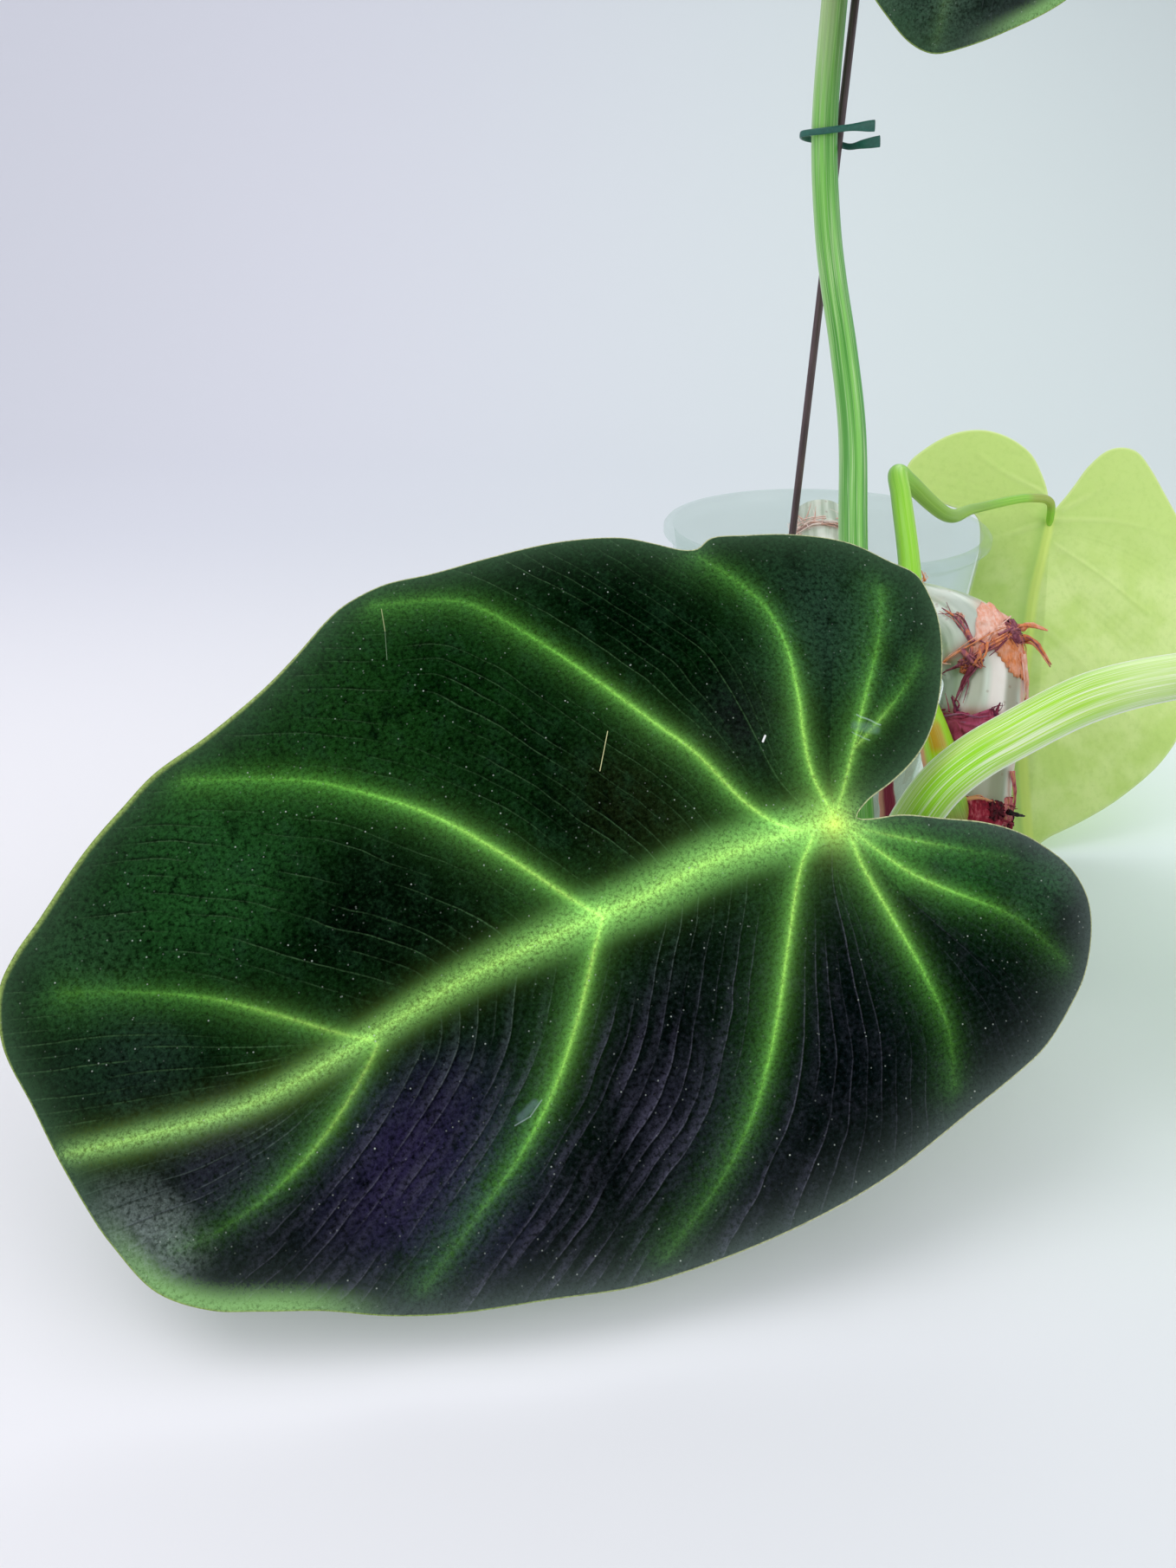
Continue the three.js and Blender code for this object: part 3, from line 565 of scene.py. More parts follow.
def veinlets_on(finish, ground, flat, near_half):
    """Hair-thin veinlets between the main veins, each with a painted lit side and painted shade in its
    groove.
    """
    lines, gap, vein, rib = finish.attributes("lines", "gap", "vein", "rib")
    wander = finish.noise(flat, 0.018, detail=1) * 1.6 - 0.8
    waver = finish.noise(flat, 0.05, detail=2) * 0.7 - 0.35
    count = lines + (wander + waver)
    phase = finish.math("FRACT", count)
    along = finish.split(flat)[0]
    own_look = finish.noise(finish.join(count * 0.9, along * 0.05), 1.0, detail=3)
    to_vein = finish.math("MINIMUM", vein, rib)
    clear = finish.fade(own_look, 0.38, 0.68) * finish.fade(to_vein, 2.0, 8.0)
    clear = clear * finish.fade(along, -12.0, 22.0, 0.25, 1.0)
    to_purple = finish.vector("DISTANCE", flat, PURPLE_PLACE)
    # Painted light on the side of each veinlet's pleat that faces the light
    lit_side = finish.fade(phase, 0.0, 0.9, 1.0, 0.0)
    lit_side = lit_side * (clear * finish.fade(to_purple, 30.0, 75.0, 0.85, 0.15))
    ground = finish.mix(lit_side, ground, finish.mix(near_half, "#203c20", "#484658"))
    # Painted shade in the groove beside each veinlet
    groove = finish.fade(phase, 0.7, 0.98, 0.0, 0.75) * clear
    ground = finish.mix(groove, ground, "#020503")
    beside = finish.math("PINGPONG", count, 0.5) * gap
    hair = finish.fade(beside, 0.04, 0.24, 0.55, 0.0) * clear
    return finish.mix(hair, ground, finish.mix(near_half, "#4a6a46", "#626270")), phase


# Where the painted light shining through the blade is strongest
TIP_GLOW_PLACE = (172.0, 44.0, 0.0)


def margin_on(finish, skin, flat, ragged, near_half):
    """Painted sheen where the margin rolls away, painted light shining through the blade beside the tip,
    and a thin pale line at the edge.
    """
    along, across, _ = finish.split(flat)
    edge = finish.attribute("edge")
    rolled = finish.math("MAXIMUM", edge + ragged * 1.5, 0.0)
    # Painted sheen, paler towards the margin where the blade rolls away from the light
    painted_margin_sheen = finish.math("EXPONENT", rolled / -4.0) * 0.75
    skin = finish.mix(painted_margin_sheen, skin, finish.mix(near_half, "#4c6b4e", "#66756f"))
    to_tip = finish.vector("DISTANCE", flat, TIP_GLOW_PLACE)
    # Painted light shining through the blade, green near the margin by the tip
    green = finish.fade(to_tip, 10.0, 38.0, 0.9, 0.0) * finish.fade(rolled, 0.5, 6.5, 1.0, 0.0)
    skin = finish.mix(green, skin, "#98cc7c")
    rim_tint = finish.mix(finish.fade(along, 30.0, 140.0), "#e6e9b4", "#a9c26a")
    far_side = finish.fade(along, 85.0, 140.0) * finish.fade(across, -20.0, -50.0)
    rim = edge / (far_side * 1.3 + 0.45)
    return finish.mix(finish.fade(rim, 0.2, 1.0, 0.85, 0.0), skin, rim_tint)


def velvet_ground(finish, flat, shades, spots, near_half, nap):
    """Clouded dark green with spots of other colours, mottled and dark or light grained."""
    fade, mix = finish.fade, finish.mix
    clouds = finish.noise(flat, 0.05, detail=5, roughness=0.6)
    mottle = finish.noise(finish.stretch(flat, (1.0, 0.6, 1.0)), 0.16, detail=6, roughness=0.72)
    skin = mix(fade(clouds, 0.3, 0.7), *shades)
    skin = mix(near_half * 0.8, skin, "#090f11")
    skin = spots_on(finish, skin, flat, spots)
    skin = mix(fade(mottle, 0.3, 0.52, 0.85, 0.0), skin, mix(near_half, "#020c06", "#04070a"))
    skin = mix(fade(mottle, 0.46, 0.7, 0.0, 0.5), skin, mix(near_half, "#1e3c26", "#26272f"))
    return mix(fade(nap, 0.5, 0.78, 0.0, 0.32), skin, mix(near_half, "#2c5230", "#3c3c48"))


def dust_on(finish, skin, flat):
    """Pale specks, thicker in some places."""
    speck, chance = finish.cells(flat, 0.6)
    gathered = finish.fade(finish.noise(flat, 0.07, detail=3), 0.45, 0.68, 0.2, 1.0)
    dust = finish.fade(speck, 0.03, 0.17, 0.9, 0.0) * finish.fade(chance, 0.4, 0.95)
    return finish.mix(dust * gathered, skin, "#c2ccc2")


def velvet_finish(name, spots=(), marks=(), glow=1.0, shades=("#031406", "#0c280c")):
    """Velvety dark green blade with bright, soft-edged veins."""
    finish = Finish(name, Roughness=0.6, Specular_IOR_Level=0.0, Sheen_Weight=0.004,
                    Sheen_Roughness=0.3, Sheen_Tint="#b9c9bd")
    fade, mix = finish.fade, finish.mix
    flat = finish.attribute("flat", "Vector")
    upper, vein = finish.attributes("upper", "vein")
    near_half = fade(finish.split(flat)[1], -6, 26)
    hairs = finish.noise(flat, 1.1, detail=5, roughness=0.85)
    ragged = hairs * 6.0 - 3.0
    nap = finish.noise(flat, 0.9, detail=4, roughness=0.6)
    speckle = finish.noise(flat, 1.1, detail=4, roughness=0.8) * 3.0 - 0.5

    skin = velvet_ground(finish, flat, shades, spots, near_half, nap)
    skin, phase = veinlets_on(finish, skin, flat, near_half)
    skin = mix(fade(nap, 0.3, 0.56, 0.8, 0.0), skin, "#000100")
    skin = side_veins_on(finish, skin, ragged, speckle, near_half, glow)
    skin = midrib_on(finish, skin, ragged, speckle, glow)
    skin = hub_on(finish, skin, flat, ragged, glow)
    skin = margin_on(finish, skin, flat, ragged, near_half)
    skin = mix(fade(hairs, 0.35, 0.6, 0.55, 0.0), skin, "#000000")
    skin = dust_on(finish, skin, flat)
    for start, end, half_width, tint, strength in marks:
        skin = mix(stroke(finish, flat, start, end, half_width) * strength, skin, tint)

    underside = mix(fade(vein, 0.3, 1.6, 0.7, 0.0), "#557f45", "#a9c878")
    relief = fade(phase, 0.0, 0.75, 1.0, 0.0) * 0.8 + hairs
    return finish.finished(mix(upper, underside, skin), relief, 0.3, 0.0004)


def pale_blade_finish():
    """Thin yellow-green blade, seen from below, that lets some light through."""
    finish = Finish("pale_blade", Roughness=0.5, Specular_IOR_Level=0.3, Subsurface_Weight=0.15,
                    Subsurface_Radius=(0.004, 0.006, 0.002))
    fade, mix = finish.fade, finish.mix
    flat = finish.attribute("flat", "Vector")
    rib, vein, edge, line, run = finish.attributes("rib", "vein", "edge", "rib_line", "vein_run")
    clouds = finish.noise(flat, 0.05, detail=4)
    netting = finish.noise(flat, 0.35, detail=4, roughness=0.7)
    ground = mix(fade(clouds, 0.35, 0.65), "#cbe680", "#def29c")
    ground = mix(fade(finish.split(flat)[0], 30.0, -5.0), ground, "#cce684")
    ground = mix(fade(netting, 0.45, 0.7, 0.0, 0.25), ground, "#b4d66c")
    fading = fade(run, 0.2, 0.9, 0.3, 0.0)
    ground = mix(fade(vein, 0.4, 2.0, 1.0, 0.0) * fading, ground, "#e6f6a4")
    ground = mix(fade(vein, 1.0, 5.0, 1.0, 0.0) * fading * 0.35, ground, "#a8cf60")
    ground = mix(fade(rib, 1.5, 6.5, 0.6, 0.0) * fade(line, -0.5, 0.5), ground, "#a6d062")
    ground = mix(fade(rib, 0.8, 2.4, 0.85, 0.0), ground, "#dcf07c")
    ground = mix(fade(edge, 0.3, 1.2, 0.5, 0.0), ground, "#e8f4ae")
    return finish.finished(ground, finish.noise(flat, 0.8, detail=3), 0.15, 0.0003)


ALL_ROUND = 9.0


def petiole_finish(name, shades, stripe, strength, left, right, zones=()):
    """Glossy green stalk with long pale stripes, its two sides as seen painted lighter or darker as
    light falls; zones have a place along it and one round it.
    """
    finish = Finish(name, Roughness=0.33, Specular_IOR_Level=0.45, Subsurface_Weight=0.1,
                    Subsurface_Radius=(0.003, 0.004, 0.001))
    fade, mix = finish.fade, finish.mix
    around, run = finish.attributes("around", "run")
    slow = run * 0.009
    fine = finish.noise(finish.join(around * 6.5, slow), 1.0, detail=2)
    broad = finish.noise(finish.join(around * 3.0, slow, 7.0), 1.0, detail=3)
    ground = mix(fade(broad, 0.36, 0.64), *shades)
    # Painted light and shade: the stalk's left and right sides, as seen, take their own colours
    ground = mix(fade(around, -1.45, -0.55, 0.8, 0.0), ground, left)
    ground = mix(fade(around, 0.55, 1.45, 0.0, 0.8), ground, right)
    for middle, reach, side, side_reach, tint in zones:
        within = fade(abs(around - side), side_reach * 0.4, side_reach, 1.0, 0.0)
        within = within * fade(abs(run - middle), reach * 0.4, reach, 0.95, 0.0)
        ground = mix(within, ground, tint)
    thin = fade(abs(fine - 0.5), 0.012, 0.045, strength, 0.0)
    worn = finish.noise(finish.join(around * 3.0, run * 0.03), 1.0)
    ground = mix(thin * fade(worn, 0.35, 0.6, 0.25, 1.0), ground, stripe)
    return finish.finished(ground, fine, 0.25, 0.0004)


# Bands on the stem: degrees round it, half width, start and end along it, colour and strength
STEM_BANDS = [
    # Painted shade left of the front of the stem
    (118, 15, 0.56, 0.61, "#a5a890", 0.8),
    # Painted highlight down the front of the stem
    (87, 17, 0.545, 0.625, "#f6ebe6", 0.9),
    # Painted shade right of the front of the stem
    (64, 16, 0.56, 0.61, "#b3a99c", 0.8),
    (32, 20, 0.55, 0.61, "#efc2b4", 0.9),
    (52, 42, 0.515, 0.56, "#e9b7a0", 0.75),
    (88, 50, 0.635, 0.71, "#a39f86", 0.8),
    (30, 26, 0.635, 0.75, "#e0b5a2", 0.7),
    (100, 16, 0.42, 0.53, "#8f9d90", 0.5),
]


def stem_finish():
    """Smooth pale grey-green stem: bands along it, some of them painted highlight and shade, brown rings
    at its nodes.
    """
    finish = Finish("stem_skin", Roughness=0.3, Specular_IOR_Level=0.5, Coat_Weight=0.25,
                    Coat_Roughness=0.2)
    fade, mix = finish.fade, finish.mix
    share, degrees, scar = finish.attributes("share", "degrees", "shade")
    stripes = finish.noise(finish.join(degrees * 0.035, share * 6.0), 1.0, detail=3)
    clouds = finish.noise(finish.place(), 90.0, detail=5)
    ground = mix(fade(stripes, 0.35, 0.65), "#9fae98", "#dde4d8")
    for middle, width, start, end, tint, strength in STEM_BANDS:
        within = fade(share, start - 0.01, start + 0.01)
        within = within * fade(share, end - 0.012, end + 0.012, 1.0, 0.0)
        within = within * fade(abs(degrees - middle), width * 0.4, width, strength, 0.0)
        ground = mix(within, ground, tint)
    freckle, chance = finish.cells(finish.place(), 420.0)
    freckles = fade(freckle, 0.1, 0.3, 1.0, 0.0) * fade(chance, 0.75, 0.85)
    ground = mix(freckles * 0.4, ground, "#8a5f4c")
    ground = mix(scar * 0.7, ground, "#a0574c")
    ground = mix(fade(clouds, 0.5, 0.75, 0.0, 0.25), ground, "#c9a894")
    return finish.finished(ground, clouds, 0.15, 0.0005)


def fibre_finish(name, shades):
    """Dry papery strands. The shade of a strand runs through the list of colours."""
    finish = Finish(name, Roughness=0.7, Specular_IOR_Level=0.25)
    place = finish.place()
    patches = finish.noise(place, 160.0, detail=4, roughness=0.65)
    streaks = finish.noise(finish.stretch(place, (1.0, 0.5, 0.3)), 1100.0, detail=3, roughness=0.6)
    shade = finish.attribute("shade") + ((patches + streaks) * 0.9 - 0.9)
    tint = finish.node("ValToRGB", {"Fac": shade}, "Color")
    stops = tint.socket.node.color_ramp.elements
    for number, text in enumerate(shades):
        position = number / (len(shades) - 1)
        stop = stops[number] if number < 2 else stops.new(position)
        stop.position, stop.color = position, colour(text)
    return finish.finished(tint, finish.noise(place, 900.0, detail=3), 0.4, 0.0003)


def cataphyll_finish():
    """Crimson dry sheath, salmon along its left side, with ribs along it."""
    finish = Finish("cataphyll_skin", Roughness=0.6, Specular_IOR_Level=0.3)
    wide, run = finish.attributes("wide", "run")
    ribs = finish.noise(finish.join(wide * 5.0, run * 0.04), 2.0)
    ground = finish.mix(finish.fade(ribs, 0.4, 0.65), "#8a2543", "#a8405c")
    ground = finish.mix(finish.fade(wide, -0.75, -0.3, 0.9, 0.0), ground, "#e8a391")
    ground = finish.mix(finish.fade(wide, 0.7, 0.95, 0.0, 0.7), ground, "#e3b4b0")
    return finish.finished(ground, ribs, 0.4, 0.0005)


def clear_plastic_finish():
    """Thin clear plastic, a little milky."""
    finish = Finish("clear_plastic", IOR=1.0, Coat_Weight=0.35, Coat_Roughness=0.12,
                    Base_Color="#e6efeb", Transmission_Weight=0.94)
    scratches = finish.noise(finish.stretch(finish.place(), (1.0, 1.0, 0.2)), 90.0, detail=4)
    finish.set("Roughness", finish.fade(scratches, 0.4, 0.7, 0.08, 0.2))
    return finish.material


def grit_finish():
    """Pale grains, some warmer, some greyer."""
    finish = Finish("pale_grit", Roughness=0.9, Specular_IOR_Level=0.2)
    place = finish.place()
    grain = finish.cells(place, 260.0)[1]
    ground = finish.mix(grain, "#c9c2b4", "#f1eee6")
    ground = finish.mix(finish.fade(grain, 0.86, 0.9, 0.0, 0.7), ground, "#b59a7d")
    ground = finish.mix(finish.noise(place, 700.0), ground, "#dad6cc")
    return finish.finished(ground, finish.noise(place, 900.0, detail=4, roughness=0.7), 0.6, 0.0006)


def stake_finish():
    """Dark brown coat with fine streaks along the stake."""
    finish = Finish("stake_coat", Roughness=0.35, Specular_IOR_Level=0.5)
    streaks = finish.noise(finish.stretch(finish.place(), (1.0, 1.0, 0.08)), 900.0, detail=3)
    return finish.finished(finish.mix(streaks, "#33252a", "#665053"), streaks, 0.2, 0.0002)


def tie_finish():
    """Teal coat, a little uneven."""
    finish = Finish("tie_coat", Roughness=0.4, Specular_IOR_Level=0.5)
    ribs = finish.noise(finish.place(), 1200.0, detail=2)
    return finish.finished(finish.mix(ribs, "#114a40", "#2a6e60"), ribs, 0.3, 0.0002)


# Blades: drawn flat in millimetres along and across the midrib, then bent

VEIN_DEPTH = 1.6
VEIN_SPREAD = 13
BLADE_THICKNESS = 0.9

FRONT_OUTLINE = [
    (-1, -1), (-5, -3.5), (-13, -5.5), (-20, -8), (-26, -11.5), (-32.5, -17.5), (-39, -26),
    (-44, -35.5), (-46.5, -45), (-46.5, -52.5), (-42, -58.5), (-34.5, -67), (-21, -75), (-11, -79),
    (-2, -82), (2.5, -80.5), (6, -81.5), (12.5, -86), (19.5, -90.5), (34.5, -95.5), (53.5, -98.5),
    (67, -100), (80, -102), (90, -100.5), (95.5, -98), (106.5, -91), (117, -85.5), (132, -80),
    (146.5, -76), (156, -70.5), (166.5, -64), (180.5, -53), (188.5, -47), (193.5, -41), (196, -29.5),
    (194, -15), (192.5, -2), (190, 10), (187.5, 19.5), (182.5, 32), (173.5, 40), (164, 44.5),
    (151.5, 50), (140, 56.5), (128.5, 61.5), (106.5, 68), (88.5, 73.5), (71, 76), (48.5, 77), (29, 76),
    (11.5, 73), (-9.5, 68.5), (-20, 65.5), (-29.5, 60.5), (-38, 54.5), (-44, 46), (-46.5, 38),
    (-45.5, 30), (-42.5, 24), (-38, 18), (-31, 12.5), (-20.5, 7), (-11.5, 2.5), (-4, 0.5),
]
# The midrib, then the veins of each half from the lobe to the tip; the first of each is faint
FRONT_MIDRIB = [
    (0, 0), (9.5, -3), (18.5, -4), (36.5, -5), (54.5, -3.5), (72, -3.5), (98, -2.5), (119.5, 0.5),
    (136.5, 3), (150, 4), (162.5, 3), (175, 1), (191, -2),
]
FRONT_VEINS_FAR = [
    [(-8, -16.5), (-14, -19), (-20.5, -22), (-28, -26), (-34.5, -30.5)],
    [(2.5, -4.5), (-2, -9.5), (-8, -16.5), (-17, -27), (-24.5, -35.5), (-30.5, -43), (-35.5, -51.5)],
    [(4, -4), (4.5, -10), (4, -16.5), (1.5, -25), (-2, -34.5), (-5.5, -48.5), (-5, -61), (3.5, -79)],
    [(15, -4.5), (18.5, -8), (22.5, -14.5), (28.5, -31), (33.5, -40), (42, -56), (51, -72),
     (61.5, -87.5), (68, -92), (84, -97.5)],
    [(65.5, -4), (69.5, -9.5), (80, -25.5), (91, -40), (103.5, -51.5), (114.5, -59.5), (140.5, -71.5)],
    [(122, 2), (127, -1.5), (138.5, -11), (151, -20.5), (164.5, -28), (180.5, -35)],
]
FRONT_VEINS_NEAR = [
    [(-1, 2), (-9, 7.5), (-20, 14.5), (-31.5, 21.5)],
    [(1.5, 1.5), (-2.5, 8.5), (-7, 15.5), (-12.5, 21.5), (-24.5, 32.5), (-29, 38), (-34.5, 49.5)],
    [(2.5, 3), (3, 9.5), (1.5, 24.5), (0, 38.5), (0, 52.5), (4, 64.5)],
    [(11.5, -0.5), (17, 4.5), (28.5, 21), (38.5, 36), (50, 50), (62, 60), (80.5, 70.5)],
    [(64, -3.5), (68.5, 2), (77.5, 14), (88.5, 26.5), (101, 37), (115, 45.5), (130.5, 54.5)],
    [(121.5, 3.5), (126, 7.5), (138.5, 16.5), (153, 23), (167, 26), (175.5, 26)],
]

GROWN_HALF = [
    (-3, 1.5), (-12, 4), (-28, 9), (-42, 20), (-50, 38), (-44, 58), (-25, 74), (5, 84),
    (40, 88), (75, 84), (110, 72), (140, 54), (165, 35), (178, 22), (186, 9),
]
GROWN_MIDRIB = [(0, 0), (60, 0), (120, 0), (186, 0)]
GROWN_VEINS = [
    [(0, 3), (-16, 18), (-30, 36), (-36, 52)],
    [(4, 5), (1, 24), (-2, 45), (2, 66)],
    [(15, 2), (28, 24), (45, 50), (64, 72)],
    [(58, 2), (74, 20), (96, 42), (118, 56)],
    [(104, 1), (118, 12), (137, 27), (155, 34)],
]

PALE_OUTLINE = [
    (-1, 0.5), (-6, -4), (-12, -8), (-20, -13), (-27, -20), (-29, -26), (-28, -32),
    (-22, -38), (-6, -49), (5, -56), (23, -63), (46, -66), (71, -61), (92, -50), (108, -34),
    (118, -20), (125, -8), (130, 0), (123, 8), (108, 16), (87, 22), (62, 25), (41, 26),
    (24, 25), (11, 25), (1, 28), (-3, 38), (-9, 50), (-15, 55), (-21, 54), (-26, 49),
    (-31, 41), (-33, 34), (-33, 26), (-30, 17), (-24, 9), (-17, 5), (-9, 2),
]
PALE_MIDRIB = [(0, 0), (16, 2), (32, 4), (80, 5), (104, 3), (129, 0)]
PALE_VEINS_FAR = [
    [(-2, -4), (-15, -24)],
    [(2, -1), (1, -27), (4, -48)],
    [(12, -2), (21, -18), (36, -41)],
    [(42, 3), (56, -14), (74, -32), (84, -50)],
]
PALE_VEINS_NEAR = [
    [(-8, 3), (-16, 19), (-23, 29)],
    [(4, 4), (8, 14), (12, 23)],
]


def mirrored(line):
    """The line on the other side of the midrib."""
    return [(along, -across) for along, across in line]


GROWN_OUTLINE = [(-1, 0), *mirrored(GROWN_HALF), (189, 0), *reversed(GROWN_HALF)]
HIGH_TIP = [
    (165, -32), (178, -18.5), (185.2, -8.5), (187.3, 0), (184.6, 9), (178, 22), (165, 39.5), (140, 57),
]
HIGH_OUTLINE = [(-1, 0), *mirrored(GROWN_HALF[:-3]), *HIGH_TIP, *reversed(GROWN_HALF[:-4])]

GROWN_LEAF = dict(
    midrib=GROWN_MIDRIB, far=[mirrored(vein) for vein in GROWN_VEINS], near=GROWN_VEINS,
    powers=(0.8, 0.9, 1, 1, 1), hub=(10, 0), sides=380, face_rings=70, back_rings=24,
)
LEAVES = {
    "front": dict(
        junction=(-25, -190, 93), tipward=(-168, -65, -42), facing=(0.13, -0.75, 0.65), scale=1.0,
        outline=FRONT_OUTLINE, midrib=FRONT_MIDRIB, far=FRONT_VEINS_FAR, near=FRONT_VEINS_NEAR,
        hub=(10, -1.5), sides=560, face_rings=110, back_rings=44, powers=(0.6, 0.85, 1, 0.96, 1, 0.62),
        bend=lambda along, across: -0.0013 * across**2 - 0.0004 * along**2,
    ),
    "right": dict(
        GROWN_LEAF, outline=GROWN_OUTLINE, scale=0.8,
        junction=(121, -156, 121), tipward=(0.8, -0.12, -0.58), facing=(0.45, -0.35, 0.82),
        bend=lambda along, across: -0.002 * across**2 - 0.0006 * along**2,
    ),
    "high": dict(
        GROWN_LEAF, outline=HIGH_OUTLINE, scale=0.81,
        junction=(34, -26, 408), tipward=(-27, -29, -147), facing=(-0.15, -0.93, 0.33),
        bend=lambda along, across: -0.002 * across**2,
    ),
    "pale": dict(
        junction=(92, 20.7, 115.5), tipward=(-11, -63, -113), facing=(0.1, 0.9, -0.42), scale=1.0,
        outline=PALE_OUTLINE, midrib=PALE_MIDRIB, far=PALE_VEINS_FAR, near=PALE_VEINS_NEAR,
        hub=(9, 0), sides=380, face_rings=60, back_rings=60, powers=(1, 1, 1, 1),
        bend=lambda along, across: (
            0.003 * across**2 + 0.7 * smoothstep(0, 35, along) * np.maximum(across, 0)
        ),
    ),
}

PLEAT_COUNT = 12
PLEAT_HEIGHT = 0.05
OUTER_PLEAT = 3.2
GROOVE_DEPTH = 0.35
GROOVE_WIDTH = 0.9
# The margin is thinned to a share of the blade's thickness over this width
EDGE_ROUNDING = 0.8
EDGE_SHARE = 0.25
# Each half of a blade and the side of a vein on which its next one lies
HALVES = (("far", 1), ("near", -1))


def leaf_axes(leaf):
    """Unit vectors towards the tip of a leaf, out of its face and sideways."""
    tipward = np.asarray(leaf["tipward"], float)
    tipward /= np.linalg.norm(tipward)
    facing = np.asarray(leaf["facing"], float)
    facing -= tipward * (facing @ tipward)
    facing /= np.linalg.norm(facing)
    return tipward, facing, np.cross(facing, tipward)


def in_place(leaf, flat, height):
    """Flat places of a drawing and their heights, in the shared frame."""
    tipward, facing, sideways = leaf_axes(leaf)
    bent = flat[:, :1] * tipward + flat[:, 1:] * sideways + height[:, None] * facing
    return leaf["scale"] * bent + np.asarray(leaf["junction"], float)


def drawn_out(line, length=60):
    """The line with its last direction kept for some way."""
    path = evenly(smooth_path(line), 40)
    ahead = path[-1] - path[-2]
    return np.vstack([path, path[-1] + ahead / np.linalg.norm(ahead) * length])


def side_pleats(flat, veins, turn):
    """A count that rises evenly from vein to vein, and the width between its whole numbers."""
    found = [along_line(flat, drawn_out(vein)) for vein in veins]
    count = -found[0][0] / OUTER_PLEAT
    gap = np.full(len(flat), OUTER_PLEAT)
    for number, (lower, upper) in enumerate(zip(found, found[1:])):
        beyond = lower[1] * turn > 0
        width = lower[0] + upper[0] + 1e-6
        count = np.where(beyond, (number + lower[0] / width) * PLEAT_COUNT, count)
        gap = np.where(beyond, width / PLEAT_COUNT, gap)
    beyond = found[-1][1] * turn > 0
    count = np.where(beyond, (len(found) - 1) * PLEAT_COUNT + found[-1][0] / OUTER_PLEAT, count)
    return count, np.where(beyond, OUTER_PLEAT, gap)


def margin_of(leaf):
    """Even points round the outline of a blade."""
    return evenly(smooth_path(leaf["outline"], closed=True), leaf["sides"], closed=True)


def blade_fields(leaf, flat):
    """What the finish and the relief need to know at each place of the flat drawing."""
    rib, rib_line, rib_run = along_line(flat, evenly(smooth_path(leaf["midrib"]), 60))
    vein = np.full(len(flat), np.inf)
    vein_line, vein_run, vein_power = (np.zeros(len(flat)) for _ in range(3))
    for side, turn in HALVES:
        for number, line in enumerate(leaf[side]):
            apart, signed, run = along_line(flat, evenly(smooth_path(line), 40))
            nearer = apart < vein
            vein = np.where(nearer, apart, vein)
            vein_line = np.where(nearer, signed * turn, vein_line)
            vein_run = np.where(nearer, run, vein_run)
            vein_power = np.where(nearer, leaf["powers"][number], vein_power)
    far, near = (side_pleats(flat, [*leaf[side], leaf["midrib"]], turn) for side, turn in HALVES)
    lines, gap = (np.where(rib_line < 0, first, second) for first, second in zip(far, near))
    margin = margin_of(leaf)
    edge = along_line(flat, np.vstack([margin, margin[:1]]))[0]
    return dict(
        rib=rib, rib_line=rib_line, rib_run=rib_run, vein=vein, vein_line=vein_line,
        vein_run=vein_run, vein_power=vein_power, lines=lines, gap=gap, edge=edge,
    )


def blade_height(leaf, flat, fields):
    """Bend, bulges between the veins, narrow grooves along them and small pleats."""
    to_vein = np.minimum(fields["vein"], fields["rib"])
    bulge = VEIN_DEPTH * (1 - np.exp(-((to_vein / VEIN_SPREAD) ** 2)))
    groove = GROOVE_DEPTH * np.exp(-((to_vein / GROOVE_WIDTH) ** 2))
    pleat = PLEAT_HEIGHT * np.cos(math.tau * fields["lines"]) * smoothstep(3, 12, to_vein)
    inside = smoothstep(0, 3, fields["edge"])
    return leaf["bend"](flat[:, 0], flat[:, 1]) + bulge - (groove + pleat) * inside


def blade_skin(leaf, rings):
    """Flat places of one face, from the hub to the margin, then their fields and heights."""
    hub = np.asarray(leaf["hub"], float)
    spokes = margin_of(leaf) - hub
    flat = np.vstack([hub] + [hub + spokes * share for share in np.linspace(0, 1, rings + 1)[1:]])
    fields = blade_fields(leaf, flat)
    return flat, fields, blade_height(leaf, flat, fields)


def fan(rings, sides, offset):
    """Triangles round the hub and squares out to the margin, facing up."""
    faces = [(offset, offset + 1 + side, offset + 1 + (side + 1) % sides) for side in range(sides)]
    return faces + flipped(ring_faces(rings, sides, offset + 1))


def blade_piece(name, material, slot):
    """A closed blade: an upper and a lower skin, joined along the margin."""
    leaf = LEAVES[name]
    sides = leaf["sides"]
    _, facing, _ = leaf_axes(leaf)
    points, faces, marks = [], [], {}
    for upper, rings in ((1.0, leaf["face_rings"]), (0.0, leaf["back_rings"])):
        flat, fields, height = blade_skin(leaf, rings)
        rounded = np.sqrt(np.clip(fields["edge"] / EDGE_ROUNDING, 0, 1))
        lift = BLADE_THICKNESS * (upper - 0.5) * (EDGE_SHARE + (1 - EDGE_SHARE) * rounded)
        skin = fan(rings, sides, sum(len(part) for part in points))
        faces += skin if upper else flipped(skin)
        points.append(in_place(leaf, flat, height) + lift[:, None] * facing)
        fields["upper"] = np.full(len(flat), upper)
        fields["flat"] = np.column_stack([flat, np.zeros(len(flat))])
        for key, values in fields.items():
            marks.setdefault(key, []).append(values)
    front_rim = len(points[0]) - sides
    faces += belt(front_rim, front_rim + len(points[1]), sides)
    marks = {key: np.concatenate(values) for key, values in marks.items()}
    piece = mesh_object(f"blade_{name}_skin", np.vstack(points), faces, marks)
    turn_outward(piece)
    return finish_piece(piece, material, slot, f"blade_{name}")


# Stem

